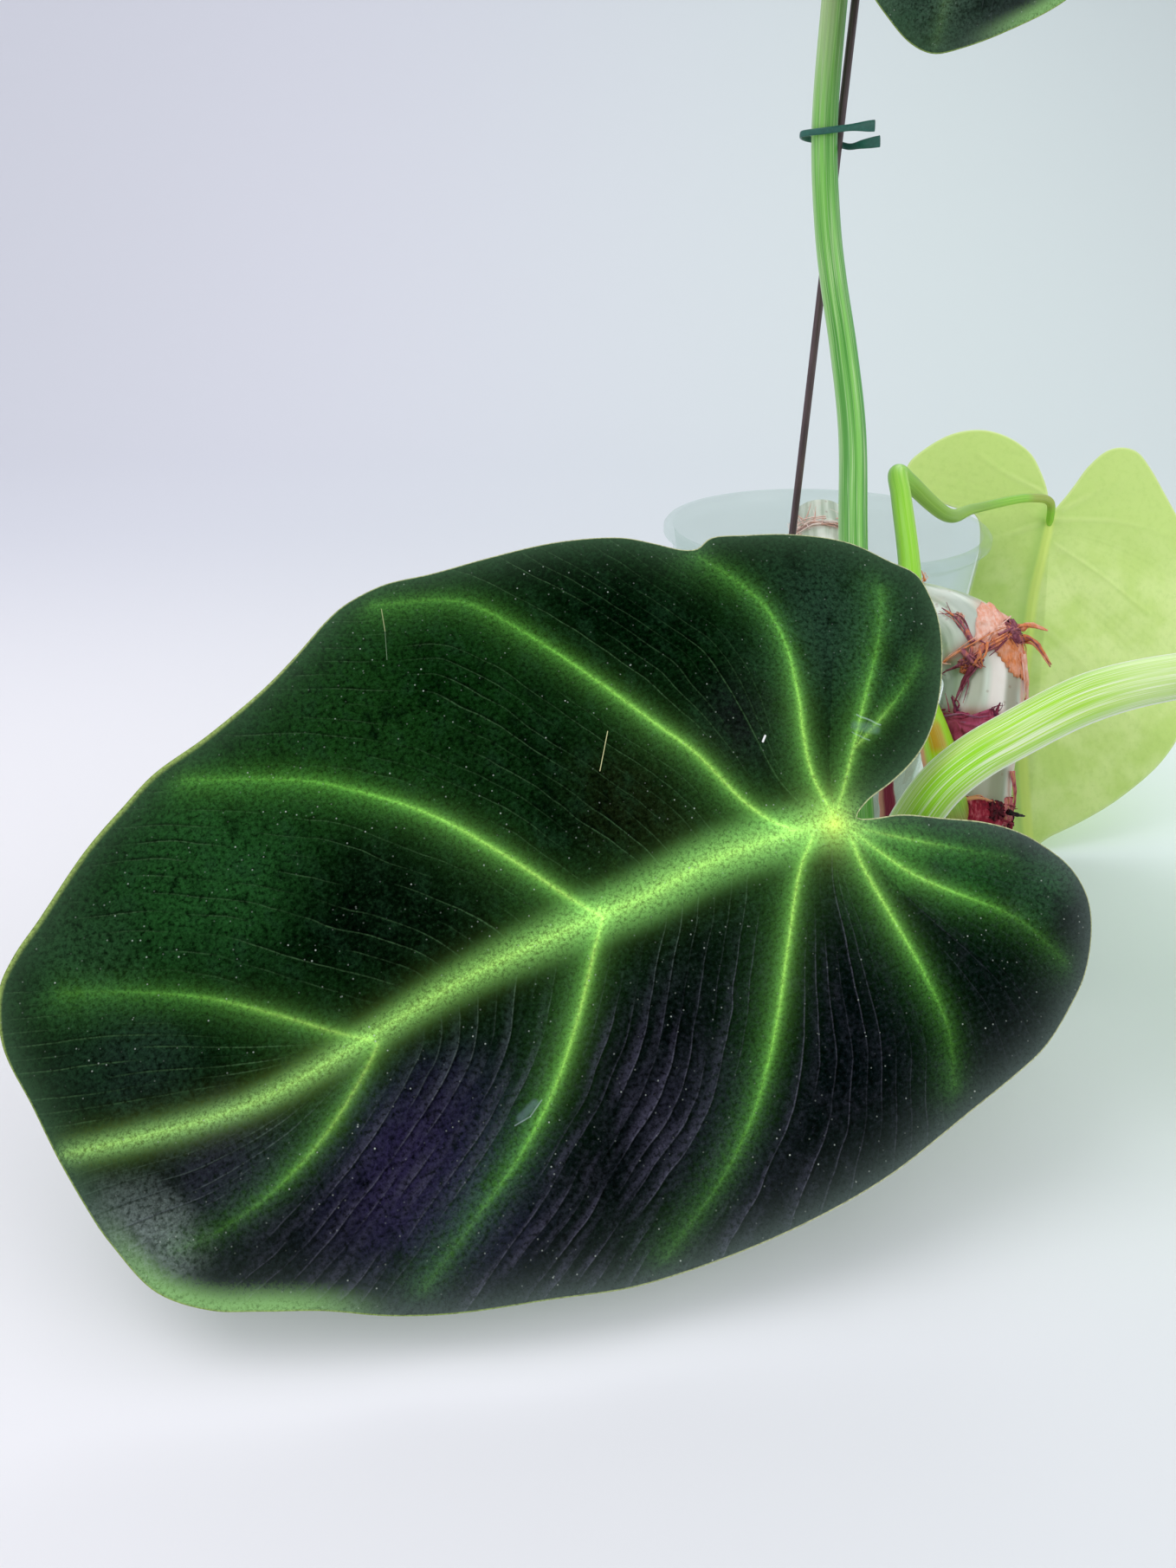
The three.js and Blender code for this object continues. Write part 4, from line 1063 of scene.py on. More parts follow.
STEM_LINE = evenly(smooth_path([
    (6, 44, 109.5), (5, 30, 99), (4, 10, 92), (3, -20, 92), (4, -45, 97), (9, -62, 102),
    (20, -79, 105), (30, -88, 102.5), (34, -95, 94), (32.5, -102, 84), (30, -110, 69),
    (27.5, -117, 52), (22, -123, 35), (11, -129, 20), (-3, -136, 13), (-19, -144, 12.4),
]), 401)
STEM_RADIUS = 12.0
STEM_NODES = {"stump": 0.05, "notch": 0.3, "arch": 0.54, "upper": 0.62, "lower": 0.72, "foot": 0.86}
NODE_SWELL = 1.1
NODE_LENGTH = 0.018
SCAR_LENGTH = 0.008
OLD_END_TAPER = 2.0
OLD_END_LENGTH = 0.12
TIP_RADIUS = 3.5
TIP_LENGTH = 0.07
STEM_SIDES = 56


def stem_radius(share):
    """Radius of the stem at a share of its length, swollen at its nodes."""
    share = np.asarray(share, float)
    radius = STEM_RADIUS - np.clip(1 - share / OLD_END_LENGTH, 0, 1) * OLD_END_TAPER
    for node in STEM_NODES.values():
        radius = radius + NODE_SWELL * np.exp(-(((share - node) / NODE_LENGTH) ** 2))
    to_tip = np.clip((1 - share) / TIP_LENGTH, 0, 1)
    return TIP_RADIUS + (radius - TIP_RADIUS) * np.sqrt(to_tip)


def beside_stem(share, degrees, height):
    """A place by the stem: share of its length, degrees round it from the right, height off it."""
    at = np.clip(share, 0, 1) * (len(STEM_LINE) - 1)
    index = np.arange(len(STEM_LINE))
    middle = np.array([np.interp(at, index, STEM_LINE[:, axis]) for axis in range(3)])
    low = int(min(max(at - 1, 0), len(STEM_LINE) - 3))
    tangent = STEM_LINE[low + 2] - STEM_LINE[low]
    tangent /= np.linalg.norm(tangent)
    right = np.array([1.0, 0, 0]) - tangent * tangent[0]
    right /= np.linalg.norm(right)
    angle = math.radians(degrees)
    out = right * math.cos(angle) + np.cross(tangent, right) * math.sin(angle)
    return middle + out * (stem_radius(share) + height)


def store(piece, key, values):
    """Keeps one value for each point of a piece."""
    mesh = piece.data
    layer = mesh.attributes.get(key) or mesh.attributes.new(key, "FLOAT", "POINT")
    layer.data.foreach_set("value", np.asarray(values, np.float32))


def read_back(piece):
    """Points of a tube in millimetres and how far along its line each of them is."""
    mesh = piece.data
    places = np.zeros(3 * len(mesh.vertices), np.float32)
    runs = np.zeros(len(mesh.vertices), np.float32)
    mesh.vertices.foreach_get("co", places)
    mesh.attributes["run"].data.foreach_get("value", runs)
    return places.reshape(-1, 3) / MM, runs


def at_runs(path, runs):
    """Middle and direction of a line at each run."""
    stops = run_along(path)
    middle, tangent = (
        np.stack([np.interp(runs, stops, line[:, axis]) for axis in range(3)], axis=1)
        for line in (path, tangents_of(path))
    )
    return middle, tangent / np.linalg.norm(tangent, axis=1, keepdims=True)


def dots(first, second):
    """The dot product of each pair of vectors."""
    return np.sum(first * second, axis=1)


def square_to(tangent, wished):
    """Unit vectors square to the tangents, as near as can be to the wished ones."""
    found = wished - tangent * dots(tangent, wished)[:, None]
    return found / np.linalg.norm(found, axis=1, keepdims=True)


def angle_round(places, middle, tangent, zero):
    """How far round its line each place lies, from the `zero` side, in radians."""
    out = places - middle
    return np.arctan2(dots(out, np.cross(tangent, zero)), dots(out, zero))


def stem_piece(material):
    """A stem that knows, at each point, how far along and round it that point lies."""
    shares = np.linspace(0, 1, len(STEM_LINE))
    scars = sum(np.exp(-(((shares - node) / SCAR_LENGTH) ** 2)) for node in STEM_NODES.values())
    piece = tubes("stem_skin", [STEM_LINE], [stem_radius(shares)], STEM_SIDES, material)
    places, runs = read_back(piece)
    middle, tangent = at_runs(STEM_LINE, runs)
    right = square_to(tangent, np.broadcast_to((1.0, 0.0, 0.0), tangent.shape))
    degrees = np.degrees(angle_round(places, middle, tangent, right))
    store(piece, "degrees", (degrees + 90) % 360 - 90)
    store(piece, "share", runs / runs.max())
    store(piece, "shade", np.interp(runs / runs.max(), shares, scars))
    return finish_piece(piece, material, "stem", "stem")


# Petioles

PETIOLES = {
    "front": dict(
        through=[
            (-13, -141, 14), (-20, -151, 34), (-27, -165, 58), (-31, -178, 77), (-30.6, -186, 86.6),
        ],
        radii=[(0, 6.5), (0.2, 4.8), (1, 3.4)], arrival=(5, 0),
    ),
    "right": dict(
        through=[
            (-3, -138, 14), (-4.5, -149, 38), (-6.5, -160, 62), (-4, -170, 84.5), (1.1, -169.5, 93),
            (8.9, -167.5, 99.4), (17.3, -166, 104.3), (37.4, -163, 114.2), (57.6, -162.8, 119.6),
            (85, -161, 121), (108, -157, 119),
        ],
        radii=[(0, 7), (0.2, 5.9), (0.6, 6.3), (0.85, 5), (1, 4)], arrival=(4, 0),
    ),
    "high": dict(
        through=[
            (1, -133, 15), (-3, -123, 36), (-5.8, -115, 58), (-5, -92, 95), (-4.6, -68.3, 130),
            (-3.4, -46.5, 158.8), (-5.6, -31.5, 182.4), (-9.1, -22.5, 202.5), (-11.4, -18.4, 217.1),
            (-14, -13.7, 243.8), (-13.5, -10, 280), (-12, -9, 320), (-2, -6, 362), (14, -4, 392),
            (30, -12, 411),
        ],
        radii=[(0, 6.2), (0.15, 4.8), (0.5, 4.2), (1, 3.4)], arrival=(4, 0),
    ),
    "pale": dict(
        through=[
            (27, -119, 50), (20, -124.5, 63), (15.5, -117, 80), (10.5, -97, 100), (13, -75, 120),
            (13.4, -52, 139), (14.5, -41, 144), (20, -36, 140), (35.1, -32.2, 128.3), (49.5, -16, 126.5),
            (77.2, 5.2, 125.5), (87, 11.5, 122.5),
        ],
        radii=[(0, 5), (0.13, 5.2), (0.22, 3.6), (0.55, 3.2), (0.68, 2.4), (0.77, 1.7), (1, 1.5)],
        arrival=(4, 0.5),
    ),
}


PETIOLE_SIDES = 28
PETIOLE_STEPS = 260


def place_on_blade(leaf, flat):
    """Where a place of the flat drawing lies on the bent blade."""
    flat = np.asarray([flat], float)
    return in_place(leaf, flat, blade_height(leaf, flat, blade_fields(leaf, flat)))[0]


def petiole_piece(name, material):
    """A stalk that knows, at each point, how far round it lies from the viewer's side."""
    petiole = PETIOLES[name]
    end = place_on_blade(LEAVES[name], petiole["arrival"])
    path = evenly(smooth_path([*petiole["through"], tuple(end)]), PETIOLE_STEPS)
    shares = np.linspace(0, 1, len(path))
    stops, values = zip(*petiole["radii"])
    radii = np.interp(shares, stops, values) * smoothstep(1.02, 0.985, shares)
    piece = tubes(f"petiole_{name}_skin", [path], [radii], PETIOLE_SIDES, material)
    places, runs = read_back(piece)
    middle, tangent = at_runs(path, runs)
    toward = square_to(tangent, np.asarray(CAMERA_PLACE) / MM - middle)
    store(piece, "around", angle_round(places, middle, tangent, toward))
    return finish_piece(piece, material, "petiole", f"petiole_{name}")


# Dry fibres of old leaf bases

def strand(path, radius, steps=10):
    """One strand from places beside the stem, thinner towards its end."""
    places = [beside_stem(share, degrees, height + radius) for share, degrees, height in path]
    lumps = 1 + 0.2 * np.sin(np.arange(steps) * 2.1 + radius * 40)
    return evenly(smooth_path(places, 6), steps), radius * lumps * (0.8 - 0.6 * np.linspace(0, 1, steps))


STRAND_SIDES = 6
STRAND_PARTS = (0, 0.2, 0.4, 0.6, 0.8, 1)


def collar_strands(start, end, count, reach):
    """Strands wound round the stem over a node, and a ragged fringe that leaves it."""
    found = []
    for _ in range(count):
        degrees, share = RNG.uniform(0, 360), RNG.uniform(start, end)
        turn = RNG.uniform(40, 110) * RNG.choice([-1, 1])
        slope = RNG.normal(0, 0.4) * (end - start)
        height = RNG.uniform(0.2, 1.2)
        path = [
            (share + slope * part, degrees + turn * part, height + 0.5 * math.sin(9 * part))
            for part in STRAND_PARTS
        ]
        found.append((path, RNG.uniform(0.25, 0.6), RNG.uniform(0, 1)))
    for _ in range(count):
        degrees, share = RNG.uniform(0, 360), RNG.uniform(start, end)
        tip = share + reach * RNG.uniform(0.4, 1.3)
        lean = RNG.normal(0, 14)
        path = [(share, degrees, 0.4), ((share + tip) / 2, degrees + lean / 2, 0.9),
                (tip, degrees + lean, RNG.uniform(0.2, 2.8))]
        found.append((path, RNG.uniform(0.25, 0.55), RNG.uniform(0, 1)))
    return found


FLAP_SIDES = 72
FLAP_RINGS = 7
FLAP_ROOT = -0.6
FLAP_TEARS = 0.9
FLAP_CRUMPLE = 0.35
# Thousandths of the stem's length are about as long as degrees round it
THOUSAND = 1000


def flap_piece(name, outline, height, shade):
    """A papery flap on the stem, drawn in shares and degrees: wavy, and torn at the edge."""
    margin = smooth_path(np.multiply(outline, (THOUSAND, 1)), closed=True)
    margin = evenly(margin, FLAP_SIDES, closed=True)
    margin = margin + RNG.normal(0, FLAP_TEARS, margin.shape)
    middle = margin.mean(axis=0)
    points, faces = [], []
    for face, level in ((1, height), (-1, FLAP_ROOT)):
        first = len(points)
        points.append(beside_stem(middle[0] / THOUSAND, middle[1], level + 0.2))
        for share in np.linspace(0, 1, FLAP_RINGS + 1)[1:]:
            for number, (along, degrees) in enumerate(middle + (margin - middle) * share):
                crumple = FLAP_CRUMPLE * math.sin(number * 0.8 + 5 * share) * share * (face > 0)
                points.append(beside_stem(along / THOUSAND, degrees, level + crumple))
        skin = fan(FLAP_RINGS, FLAP_SIDES, first)
        faces += skin if face > 0 else flipped(skin)
    upper_rim = 1 + (FLAP_RINGS - 1) * FLAP_SIDES
    faces += belt(upper_rim, upper_rim + 1 + FLAP_RINGS * FLAP_SIDES, FLAP_SIDES)
    flap = mesh_object(name, points, faces, dict(shade=np.full(len(points), shade)))
    turn_outward(flap)
    return flap


def joined(piece, others):
    """Takes the other pieces into this one."""
    work = bmesh.new()
    for part in (piece, *others):
        work.from_mesh(part.data)
    work.to_mesh(piece.data)
    work.free()
    for part in others:
        bpy.data.objects.remove(part)
    return piece


# Round the stem: share of its length, degrees from the right (90 faces the viewer), height
FIBRES = {
    "stump": dict(start=0.03, end=0.065, reach=-0.028, count=46, strands=[], flaps=[]),
    "arch": dict(
        start=0.535, end=0.55, reach=0.02, count=12,
        strands=[
            ([(0.541, 42, 0), (0.545, 80, 0.5), (0.55, 110, 0.6), (0.557, 134, 0)], 0.8, 0.42),
            ([(0.543, 50, 0), (0.549, 84, 0.4), (0.553, 112, 0.8), (0.56, 130, 0)], 0.6, 0.3),
            ([(0.54, 128, 0), (0.555, 122, 0.8), (0.572, 112, 0)], 1.2, 0.3),
            ([(0.545, 104, 0), (0.556, 112, 1.4), (0.568, 124, 0)], 1.1, 0.5),
            ([(0.54, 26, 0), (0.541, 26, 3), (0.548, 26, 7)], 1.4, 0.6),
            ([(0.545, 24, 0), (0.552, 25, 3), (0.57, 24, 6.5)], 1.1, 0.45),
            ([(0.556, 134, 0), (0.557, 150, 0.8), (0.559, 160, 2)], 0.7, 0.0),
            ([(0.56, 44, 0), (0.571, 44, 0.2), (0.582, 40, 0.3), (0.592, 31, 0), (0.606, 22, 0)],
             1.1, 0.85),
            ([(0.566, 122, 0), (0.577, 128, 0.4), (0.588, 133, 0.3), (0.61, 141, 0)], 1.1, 0.02),
            ([(0.538, 113, 0), (0.515, 119, 0), (0.497, 126, 0)], 0.9, 0.25),
            ([(0.46, 84, 0), (0.456, 81, 1.4), (0.45, 79, 3)], 0.6, 0.6),
        ],
        flaps=[
            ([(0.519, 85), (0.523, 38), (0.537, 28), (0.542, 50), (0.547, 101), (0.556, 130),
              (0.545, 122), (0.531, 104)], 0.4, 0.82),
            ([(0.542, 89), (0.545, 50), (0.551, 25), (0.571, 22), (0.576, 69), (0.554, 88)], 0.5, 0.65),
            ([(0.536, 60), (0.538, 30), (0.549, 28), (0.548, 58)], 1.2, 0.22),
            ([(0.552, 140), (0.549, 118), (0.557, 106), (0.567, 114), (0.566, 134)], 0.9, 0.25),
            ([(0.562, 138), (0.56, 126), (0.57, 123), (0.577, 132), (0.572, 140)], 1.0, 0.5),
            ([(0.511, 122), (0.509, 114), (0.516, 110), (0.519, 118)], 0.3, 0.95),
        ],
    ),
    "upper": dict(
        start=0.614, end=0.632, reach=-0.014, count=10,
        strands=[
            ([(0.62, 172, 0), (0.613, 173, 0.8), (0.607, 174, 2.4)], 0.8, 0.15),
            ([(0.62, 138, 0), (0.612, 139, 0.8), (0.606, 141, 2.2)], 0.9, 0.1),
            ([(0.62, 90, 0), (0.614, 89, 0.8), (0.608, 88, 2.2)], 0.9, 0.1),
            ([(0.617, 180, 0.4), (0.624, 150, 1), (0.621, 128, 1), (0.624, 110, 1), (0.618, 88, 0.4)],
             0.6, 0.9),
        ],
        flaps=[
            ([(0.611, 180), (0.624, 157), (0.619, 131), (0.622, 115), (0.615, 88), (0.631, 92),
              (0.641, 109), (0.648, 132), (0.639, 165)], 1.4, 0.5),
        ],
    ),
    "lower": dict(
        start=0.706, end=0.732, reach=0.02, count=16,
        strands=[
            ([(0.705, 116, 0.4), (0.701, 96, 0.9), (0.704, 74, 0.4)], 0.8, 0.98),
            ([(0.712, 53, 0), (0.714, 40, 1.2), (0.715, 20, 2.6)], 1.1, 0.0),
            ([(0.722, 40, 0), (0.735, 38, 0.6), (0.75, 36, 1.2)], 1.0, 0.4),
            ([(0.671, 46, 0), (0.69, 33, 0.4), (0.708, 23, 0)], 0.9, 0.8),
        ],
        flaps=[
            ([(0.714, 140), (0.702, 112), (0.704, 74), (0.716, 58), (0.74, 80), (0.738, 124)], 1.0, 0.5),
            ([(0.707, 82), (0.703, 66), (0.716, 60), (0.72, 78)], 1.4, 0.2),
            ([(0.7, 52), (0.703, 28), (0.727, 26), (0.73, 50)], 0.6, 0.75),
        ],
    ),
}


LOOSE_COPIES = 3
LOOSE_SHARE = 0.0012
LOOSE_DEGREES = 5
LOOSE_HEIGHT = 0.5


def loosened(path):
    """The path with each of its places moved a little by chance."""
    return [
        (share + RNG.normal(0, LOOSE_SHARE), degrees + RNG.normal(0, LOOSE_DEGREES),
         height + RNG.uniform(0, LOOSE_HEIGHT))
        for share, degrees, height in path
    ]


def fibre_piece(name, material, slot):
    """The strands and flaps of one old leaf base, in one piece."""
    fibre = FIBRES[name]
    strands = collar_strands(fibre["start"], fibre["end"], fibre["count"], fibre["reach"])
    for path, radius, shade in fibre["strands"]:
        strands.append((path, radius, shade))
        for _ in range(LOOSE_COPIES):
            loose = loosened(path)
            strands.append((loose, radius * RNG.uniform(0.3, 0.6), shade + RNG.normal(0, 0.15)))
    lines, radii = zip(*(strand(path, radius) for path, radius, _ in strands))
    shades = [shade for *_, shade in strands]
    piece = tubes(f"fibres_{name}_strands", lines, radii, STRAND_SIDES, material, shades)
    flaps = [flap_piece(f"fibres_{name}_flap", *flap) for flap in fibre["flaps"]]
    return finish_piece(joined(piece, flaps), material, slot, f"fibres_{name}")


# Cataphyll and tie

def flat_band(name, path, wide, half_width, half_thickness, sides=20):
    """A thin closed band along a path."""
    across = across_of(path, wide)
    up = np.cross(tangents_of(path), across)
    angles = np.linspace(0, math.tau, sides, endpoint=False)
    flat = np.sign(np.cos(angles)) * np.abs(np.cos(angles)) ** 0.6
    points = []
    for step, centre in enumerate(path):
        beside = np.outer(flat * half_width[step], across[step])
        points.append(centre + beside + np.outer(np.sin(angles) * half_thickness[step], up[step]))
    faces = ring_faces(len(path), sides)
    faces.append(tuple(reversed(range(sides))))
    faces.append(tuple(range((len(path) - 1) * sides, len(path) * sides)))
    marks = dict(wide=np.tile(flat, len(path)), run=np.repeat(np.arange(len(path)), sides))
    piece = mesh_object(name, np.vstack(points), faces, marks)
    turn_outward(piece)
    return piece


CATAPHYLL_LINE = [(8, -124, 26), (7.5, -117, 38), (6, -104, 58), (5.2, -91, 78), (5, -82, 94)]
CATAPHYLL_HALF_WIDTH = 3.5
CATAPHYLL_HALF_THICKNESS = 1.2
CATAPHYLL_STEPS = 70
TIE_LINE = [
    (0.8, -17.1, 246), (-6, -19, 245.5), (-14.3, -18.8, 244.6), (-21.3, -15, 243.8),
    (-19.5, -9.5, 243), (-12, -5.5, 242), (-8.5, -6, 241.5), (-5, -9, 240.5), (-2, -14, 241),
    (2.7, -18, 241.7),
]
TIE_HALF_WIDTH = 0.95
TIE_TAIL_WIDENING = 0.7
TIE_HALF_THICKNESS = 0.4
TIE_STEPS = 120
TIE_SIDES = 16


def cataphyll_piece(material):
    """A thin sheath that narrows to its tip."""
    path = evenly(smooth_path(CATAPHYLL_LINE), CATAPHYLL_STEPS)
    taper = np.sqrt(np.maximum(1 - np.linspace(0, 1, len(path)), 0.02))
    ragged = 1 + 0.05 * np.sin(np.arange(len(path)) * 1.3)
    half_width = CATAPHYLL_HALF_WIDTH * taper * ragged
    half_thickness = CATAPHYLL_HALF_THICKNESS * taper
    piece = flat_band("cataphyll_sheath", path, (1, 0, 0), half_width, half_thickness)
    return finish_piece(piece, material, "cataphyll", "cataphyll")


def tie_piece(material):
    """A flat band round the petiole and the stake, with wider tails."""
    path = evenly(smooth_path(TIE_LINE), TIE_STEPS)
    shares = np.linspace(0, 1, len(path))
    tails = smoothstep(0.16, 0.0, shares) + smoothstep(0.8, 1.0, shares)
    half_width = TIE_HALF_WIDTH + TIE_TAIL_WIDENING * tails
    half_thickness = np.full(len(path), TIE_HALF_THICKNESS)
    piece = flat_band("tie_band", path, (0, 0, 1), half_width, half_thickness, TIE_SIDES)
    return finish_piece(piece, material, "tie", "twist_tie")


# Stake

STAKE_FOOT = np.array([-20.5, -28.2, 26.0])
STAKE_TOP = np.array([-4.3, -2.6, 318.0])
STAKE_RADIUS = 1.3
STAKE_TIP_RADII = (1.1, 0.5)
STAKE_STEPS = 80
STAKE_SIDES = 24


def stake_piece(material):
    """A thin straight rod with a rounded top."""
    path = STAKE_FOOT + np.linspace(0, 1, STAKE_STEPS)[:, None] * (STAKE_TOP - STAKE_FOOT)
    radius = np.full(STAKE_STEPS, STAKE_RADIUS)
    radius[-len(STAKE_TIP_RADII):] = STAKE_TIP_RADII
    piece = tubes("stake_rod", [path], [radius], STAKE_SIDES, material)
    return finish_piece(piece, material, "stake", "stake")


# Pot

POT_HEIGHT, RIM_RADIUS, BASE_RADIUS = 117.0, 60.0, 43.0
POT_WALL, LIP_WIDTH, LIP_HEIGHT = 1.2, 2.5, 4.0
DRAIN_HOLES, DRAIN_RADIUS, DRAIN_CIRCLE = 6, 3.5, 27.0
NOTCH_MIDDLE, NOTCH_HALF_WIDTH = (6.0, -57.0, 99.0), 16.0
NOTCH_TOP, NOTCH_REACH, DRAIN_REACH = 30, 12, 3
POT_SIDES = 144


def wall_radius(height):
    """Radius of the wall's outer side at a height."""
    return BASE_RADIUS + (RIM_RADIUS - LIP_WIDTH - BASE_RADIUS) * height / POT_HEIGHT


def pot_profile():
    """Half section from the middle of the underside, round the wall and the lip, back inside."""
    under_lip = POT_HEIGHT - LIP_HEIGHT
    inner = wall_radius(POT_HEIGHT) - POT_WALL
    outside = [(BASE_RADIUS - 1.5, 0), (BASE_RADIUS - 0.4, 0.4), (wall_radius(2), 2)]
    outside += [(wall_radius(height), height) for height in np.linspace(8, under_lip - 2, 14)]
    lip = [(RIM_RADIUS - 1, under_lip), (RIM_RADIUS, under_lip + 0.8), (RIM_RADIUS, POT_HEIGHT - 1)]
    lip += [(RIM_RADIUS - 0.8, POT_HEIGHT), (inner + 0.6, POT_HEIGHT), (inner, POT_HEIGHT - 0.8)]
    inner_heights = np.linspace(POT_HEIGHT - 6, POT_WALL + 2, 14)
    inside = [(wall_radius(height) - POT_WALL, height) for height in inner_heights]
    return outside + lip + inside + [(wall_radius(POT_WALL) - POT_WALL - 1.5, POT_WALL)]


def cutter(name, outline, reach, place, upright=False):
    """A prism through the outline that reaches as far both ways, along Y or upright along Z."""
    count = len(outline)
    points = [(x, end, z) for end in (-reach, reach) for x, z in outline]
    if upright:
        points = [(x, -z, y) for x, y, z in points]
    faces = ring_faces(2, count) + [tuple(reversed(range(count))), tuple(range(count, 2 * count))]
    piece = mesh_object(name, np.asarray(points) + np.asarray(place), faces, smooth=False)
    turn_outward(piece)
    return piece


def turned_pot():
    """The pot's wall and floor, turned round from the half section."""
    profile = pot_profile()
    angles = np.linspace(0, math.tau, POT_SIDES, endpoint=False)
    circle = np.column_stack([np.cos(angles), np.sin(angles), np.zeros(POT_SIDES)])
    rings = [circle * radius + (0, 0, height) for radius, height in profile]
    faces = ring_faces(len(profile), POT_SIDES)
    points = np.vstack([*rings, [(0, 0, 0), (0, 0, POT_WALL)]])
    bottom, floor = len(points) - 2, len(points) - 1
    last = (len(profile) - 1) * POT_SIDES
    for side in range(POT_SIDES):
        after = (side + 1) % POT_SIDES
        faces += [(bottom, after, side), (floor, last + side, last + after)]
    pot = mesh_object("clear_pot", points, faces)
    turn_outward(pot)
    return pot


def round_points(radius, angles):
    """Places on a circle round the origin."""
    return [(radius * math.cos(angle), radius * math.sin(angle)) for angle in angles]


def pot_cutters():
    """Tools for the notch in the front wall and the drain holes."""
    half = NOTCH_HALF_WIDTH
    arc = round_points(half, np.linspace(math.pi, math.tau, 25))
    notch = [(-half, NOTCH_TOP), *arc, (half, NOTCH_TOP)]
    cutters = [cutter("notch_cutter", notch, NOTCH_REACH, NOTCH_MIDDLE)]
    hole = round_points(DRAIN_RADIUS, np.linspace(0, math.tau, 24, endpoint=False))
    turns = [math.tau * number / DRAIN_HOLES for number in range(DRAIN_HOLES)]
    for number, (x, y) in enumerate(round_points(DRAIN_CIRCLE, turns)):
        cutters.append(cutter(f"drain_{number}", hole, DRAIN_REACH, (x, y, 0), upright=True))
    return cutters


def pot_piece(material):
    """The turned pot with its notch and drain holes cut out."""
    pot = turned_pot()
    cutters = pot_cutters()
    for tool in cutters:
        cut = pot.modifiers.new(tool.name, "BOOLEAN")
        cut.operation, cut.solver, cut.object = "DIFFERENCE", "EXACT", tool
    applied(pot)
    for tool in cutters:
        bpy.data.objects.remove(tool)
    smooth_shaded(pot)
    pot.data.set_sharp_from_angle(angle=math.radians(40))
    return finish_piece(pot, material, "clear_plastic", "pot")


# Grit

GRIT_TOP, GRIT_LUMPS = 84.0, 1.6
GRAIN_SIZE = 1.35
GRAINS_PER_SQUARE_METRE = 280000.0
BED_CELLS = 44
BED_SINK = 0.6
WALL_CLEARANCE = 2.4
STEM_CLEARANCE = 3.2


def grit_height(x, y):
    """Height of the lumpy top of the filling."""
    coarse = np.sin(x * 0.31 + 1.3) * np.cos(y * 0.27 - 0.4)
    fine = np.sin(x * 0.72 - y * 0.55) * np.cos(y * 0.81 + x * 0.18)
    return GRIT_TOP + GRIT_LUMPS * (coarse + 0.6 * fine)


def grit_bed(material):
    """The body of the grit, a little lower than its top layer of grains."""
    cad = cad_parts["grit"]
    cad.data.materials.clear()
    cad.data.materials.append(material)
    return cad


def grit_grains(material):
    """Grains over the top of the bed, clear of the stem and the pot's wall."""
    cells = BED_CELLS
    reach = wall_radius(GRIT_TOP) - POT_WALL - WALL_CLEARANCE
    axis = np.linspace(-reach, reach, cells)
    x, y = np.meshgrid(axis, axis)
    points = np.column_stack([x.ravel(), y.ravel(), (grit_height(x, y) - BED_SINK).ravel()])
    to_stem = np.min(np.linalg.norm(points[:, None] - STEM_LINE[None, ::6], axis=2), axis=1)
    keep = (np.hypot(points[:, 0], points[:, 1]) < reach) & (to_stem > STEM_RADIUS + STEM_CLEARANCE)
    keep = keep.reshape(cells, cells)
    faces = []
    for row in range(cells - 1):
        for column in range(cells - 1):
            if keep[row : row + 2, column : column + 2].all():
                corner = row * cells + column
                faces.append((corner, corner + 1, corner + cells + 1, corner + cells))
    bed = mesh_object("grit_grains", points, faces, smooth=False)
    grown_by(grain_tree(), bed, Density=GRAINS_PER_SQUARE_METRE, Size=GRAIN_SIZE * MM, Seed=4,
             Finish=material)
    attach(bed, "root")
    return bed


# Floor and light

def sheet_finish():
    """Pale sheet, with painted shade darker towards the back and a painted pool of light to the right of
    the pot.
    """
    finish = Finish("pale_sheet", Roughness=0.85, Specular_IOR_Level=0.2)
    x, y, _ = finish.split(finish.place())
    near = finish.mix(finish.fade(x, -0.35, 0.15), "#f1eef2", "#e5e7ea")
    # Painted shade: the far part of the sheet, rising behind the plant, is darker
    far = finish.mix(finish.fade(x, -0.5, 0.4), "#dadae3", "#d0d8d8")
    sheet = finish.mix(finish.fade(y, -0.1, 0.5), near, far)
    # A painted pool of light brightening the floor to the right of the pot
    lit = finish.vector("DISTANCE", finish.place(), (0.18, -0.06, 0.0))
    finish.set("Base Color", finish.mix(finish.fade(lit, 0.05, 0.28, 0.9, 0.0), sheet, "#f2fff9"))
    return finish.material


def add_floor():
    """A pale sheet that sweeps up behind the plant."""
    radius, front, back, half_width, rise = 600.0, -1600.0, 700.0, 2600.0, 2600.0
    angles = np.linspace(0, math.pi / 2, 24)
    bend = [(back + radius * math.sin(angle), radius * (1 - math.cos(angle))) for angle in angles]
    profile = [(front, 0.0), *bend, (back + radius, rise)]
    points = [(side, y, z - 0.05) for y, z in profile for side in (-half_width, half_width)]
    faces = [(2 * step, 2 * step + 1, 2 * step + 3, 2 * step + 2) for step in range(len(profile) - 1)]
    floor = mesh_object("floor_sheet", points, faces)
    floor.data.materials.append(sheet_finish())


# Lamps: name, place, place aimed at, size and power
LAMPS = [
    ("key", (-0.7, -0.3, 1.3), (0, -0.1, 0.1), 0.9, 4.0),
    ("fill", (0.9, -0.9, 0.9), (0, -0.1, 0.1), 1.0, 3.6),
    ("back", (0.3, 0.9, 1.0), (0.05, 0, 0.1), 0.8, 3.2),
]
ROOM_COLOUR = (0.93, 0.96, 1.0, 1.0)
ROOM_STRENGTH = 0.84


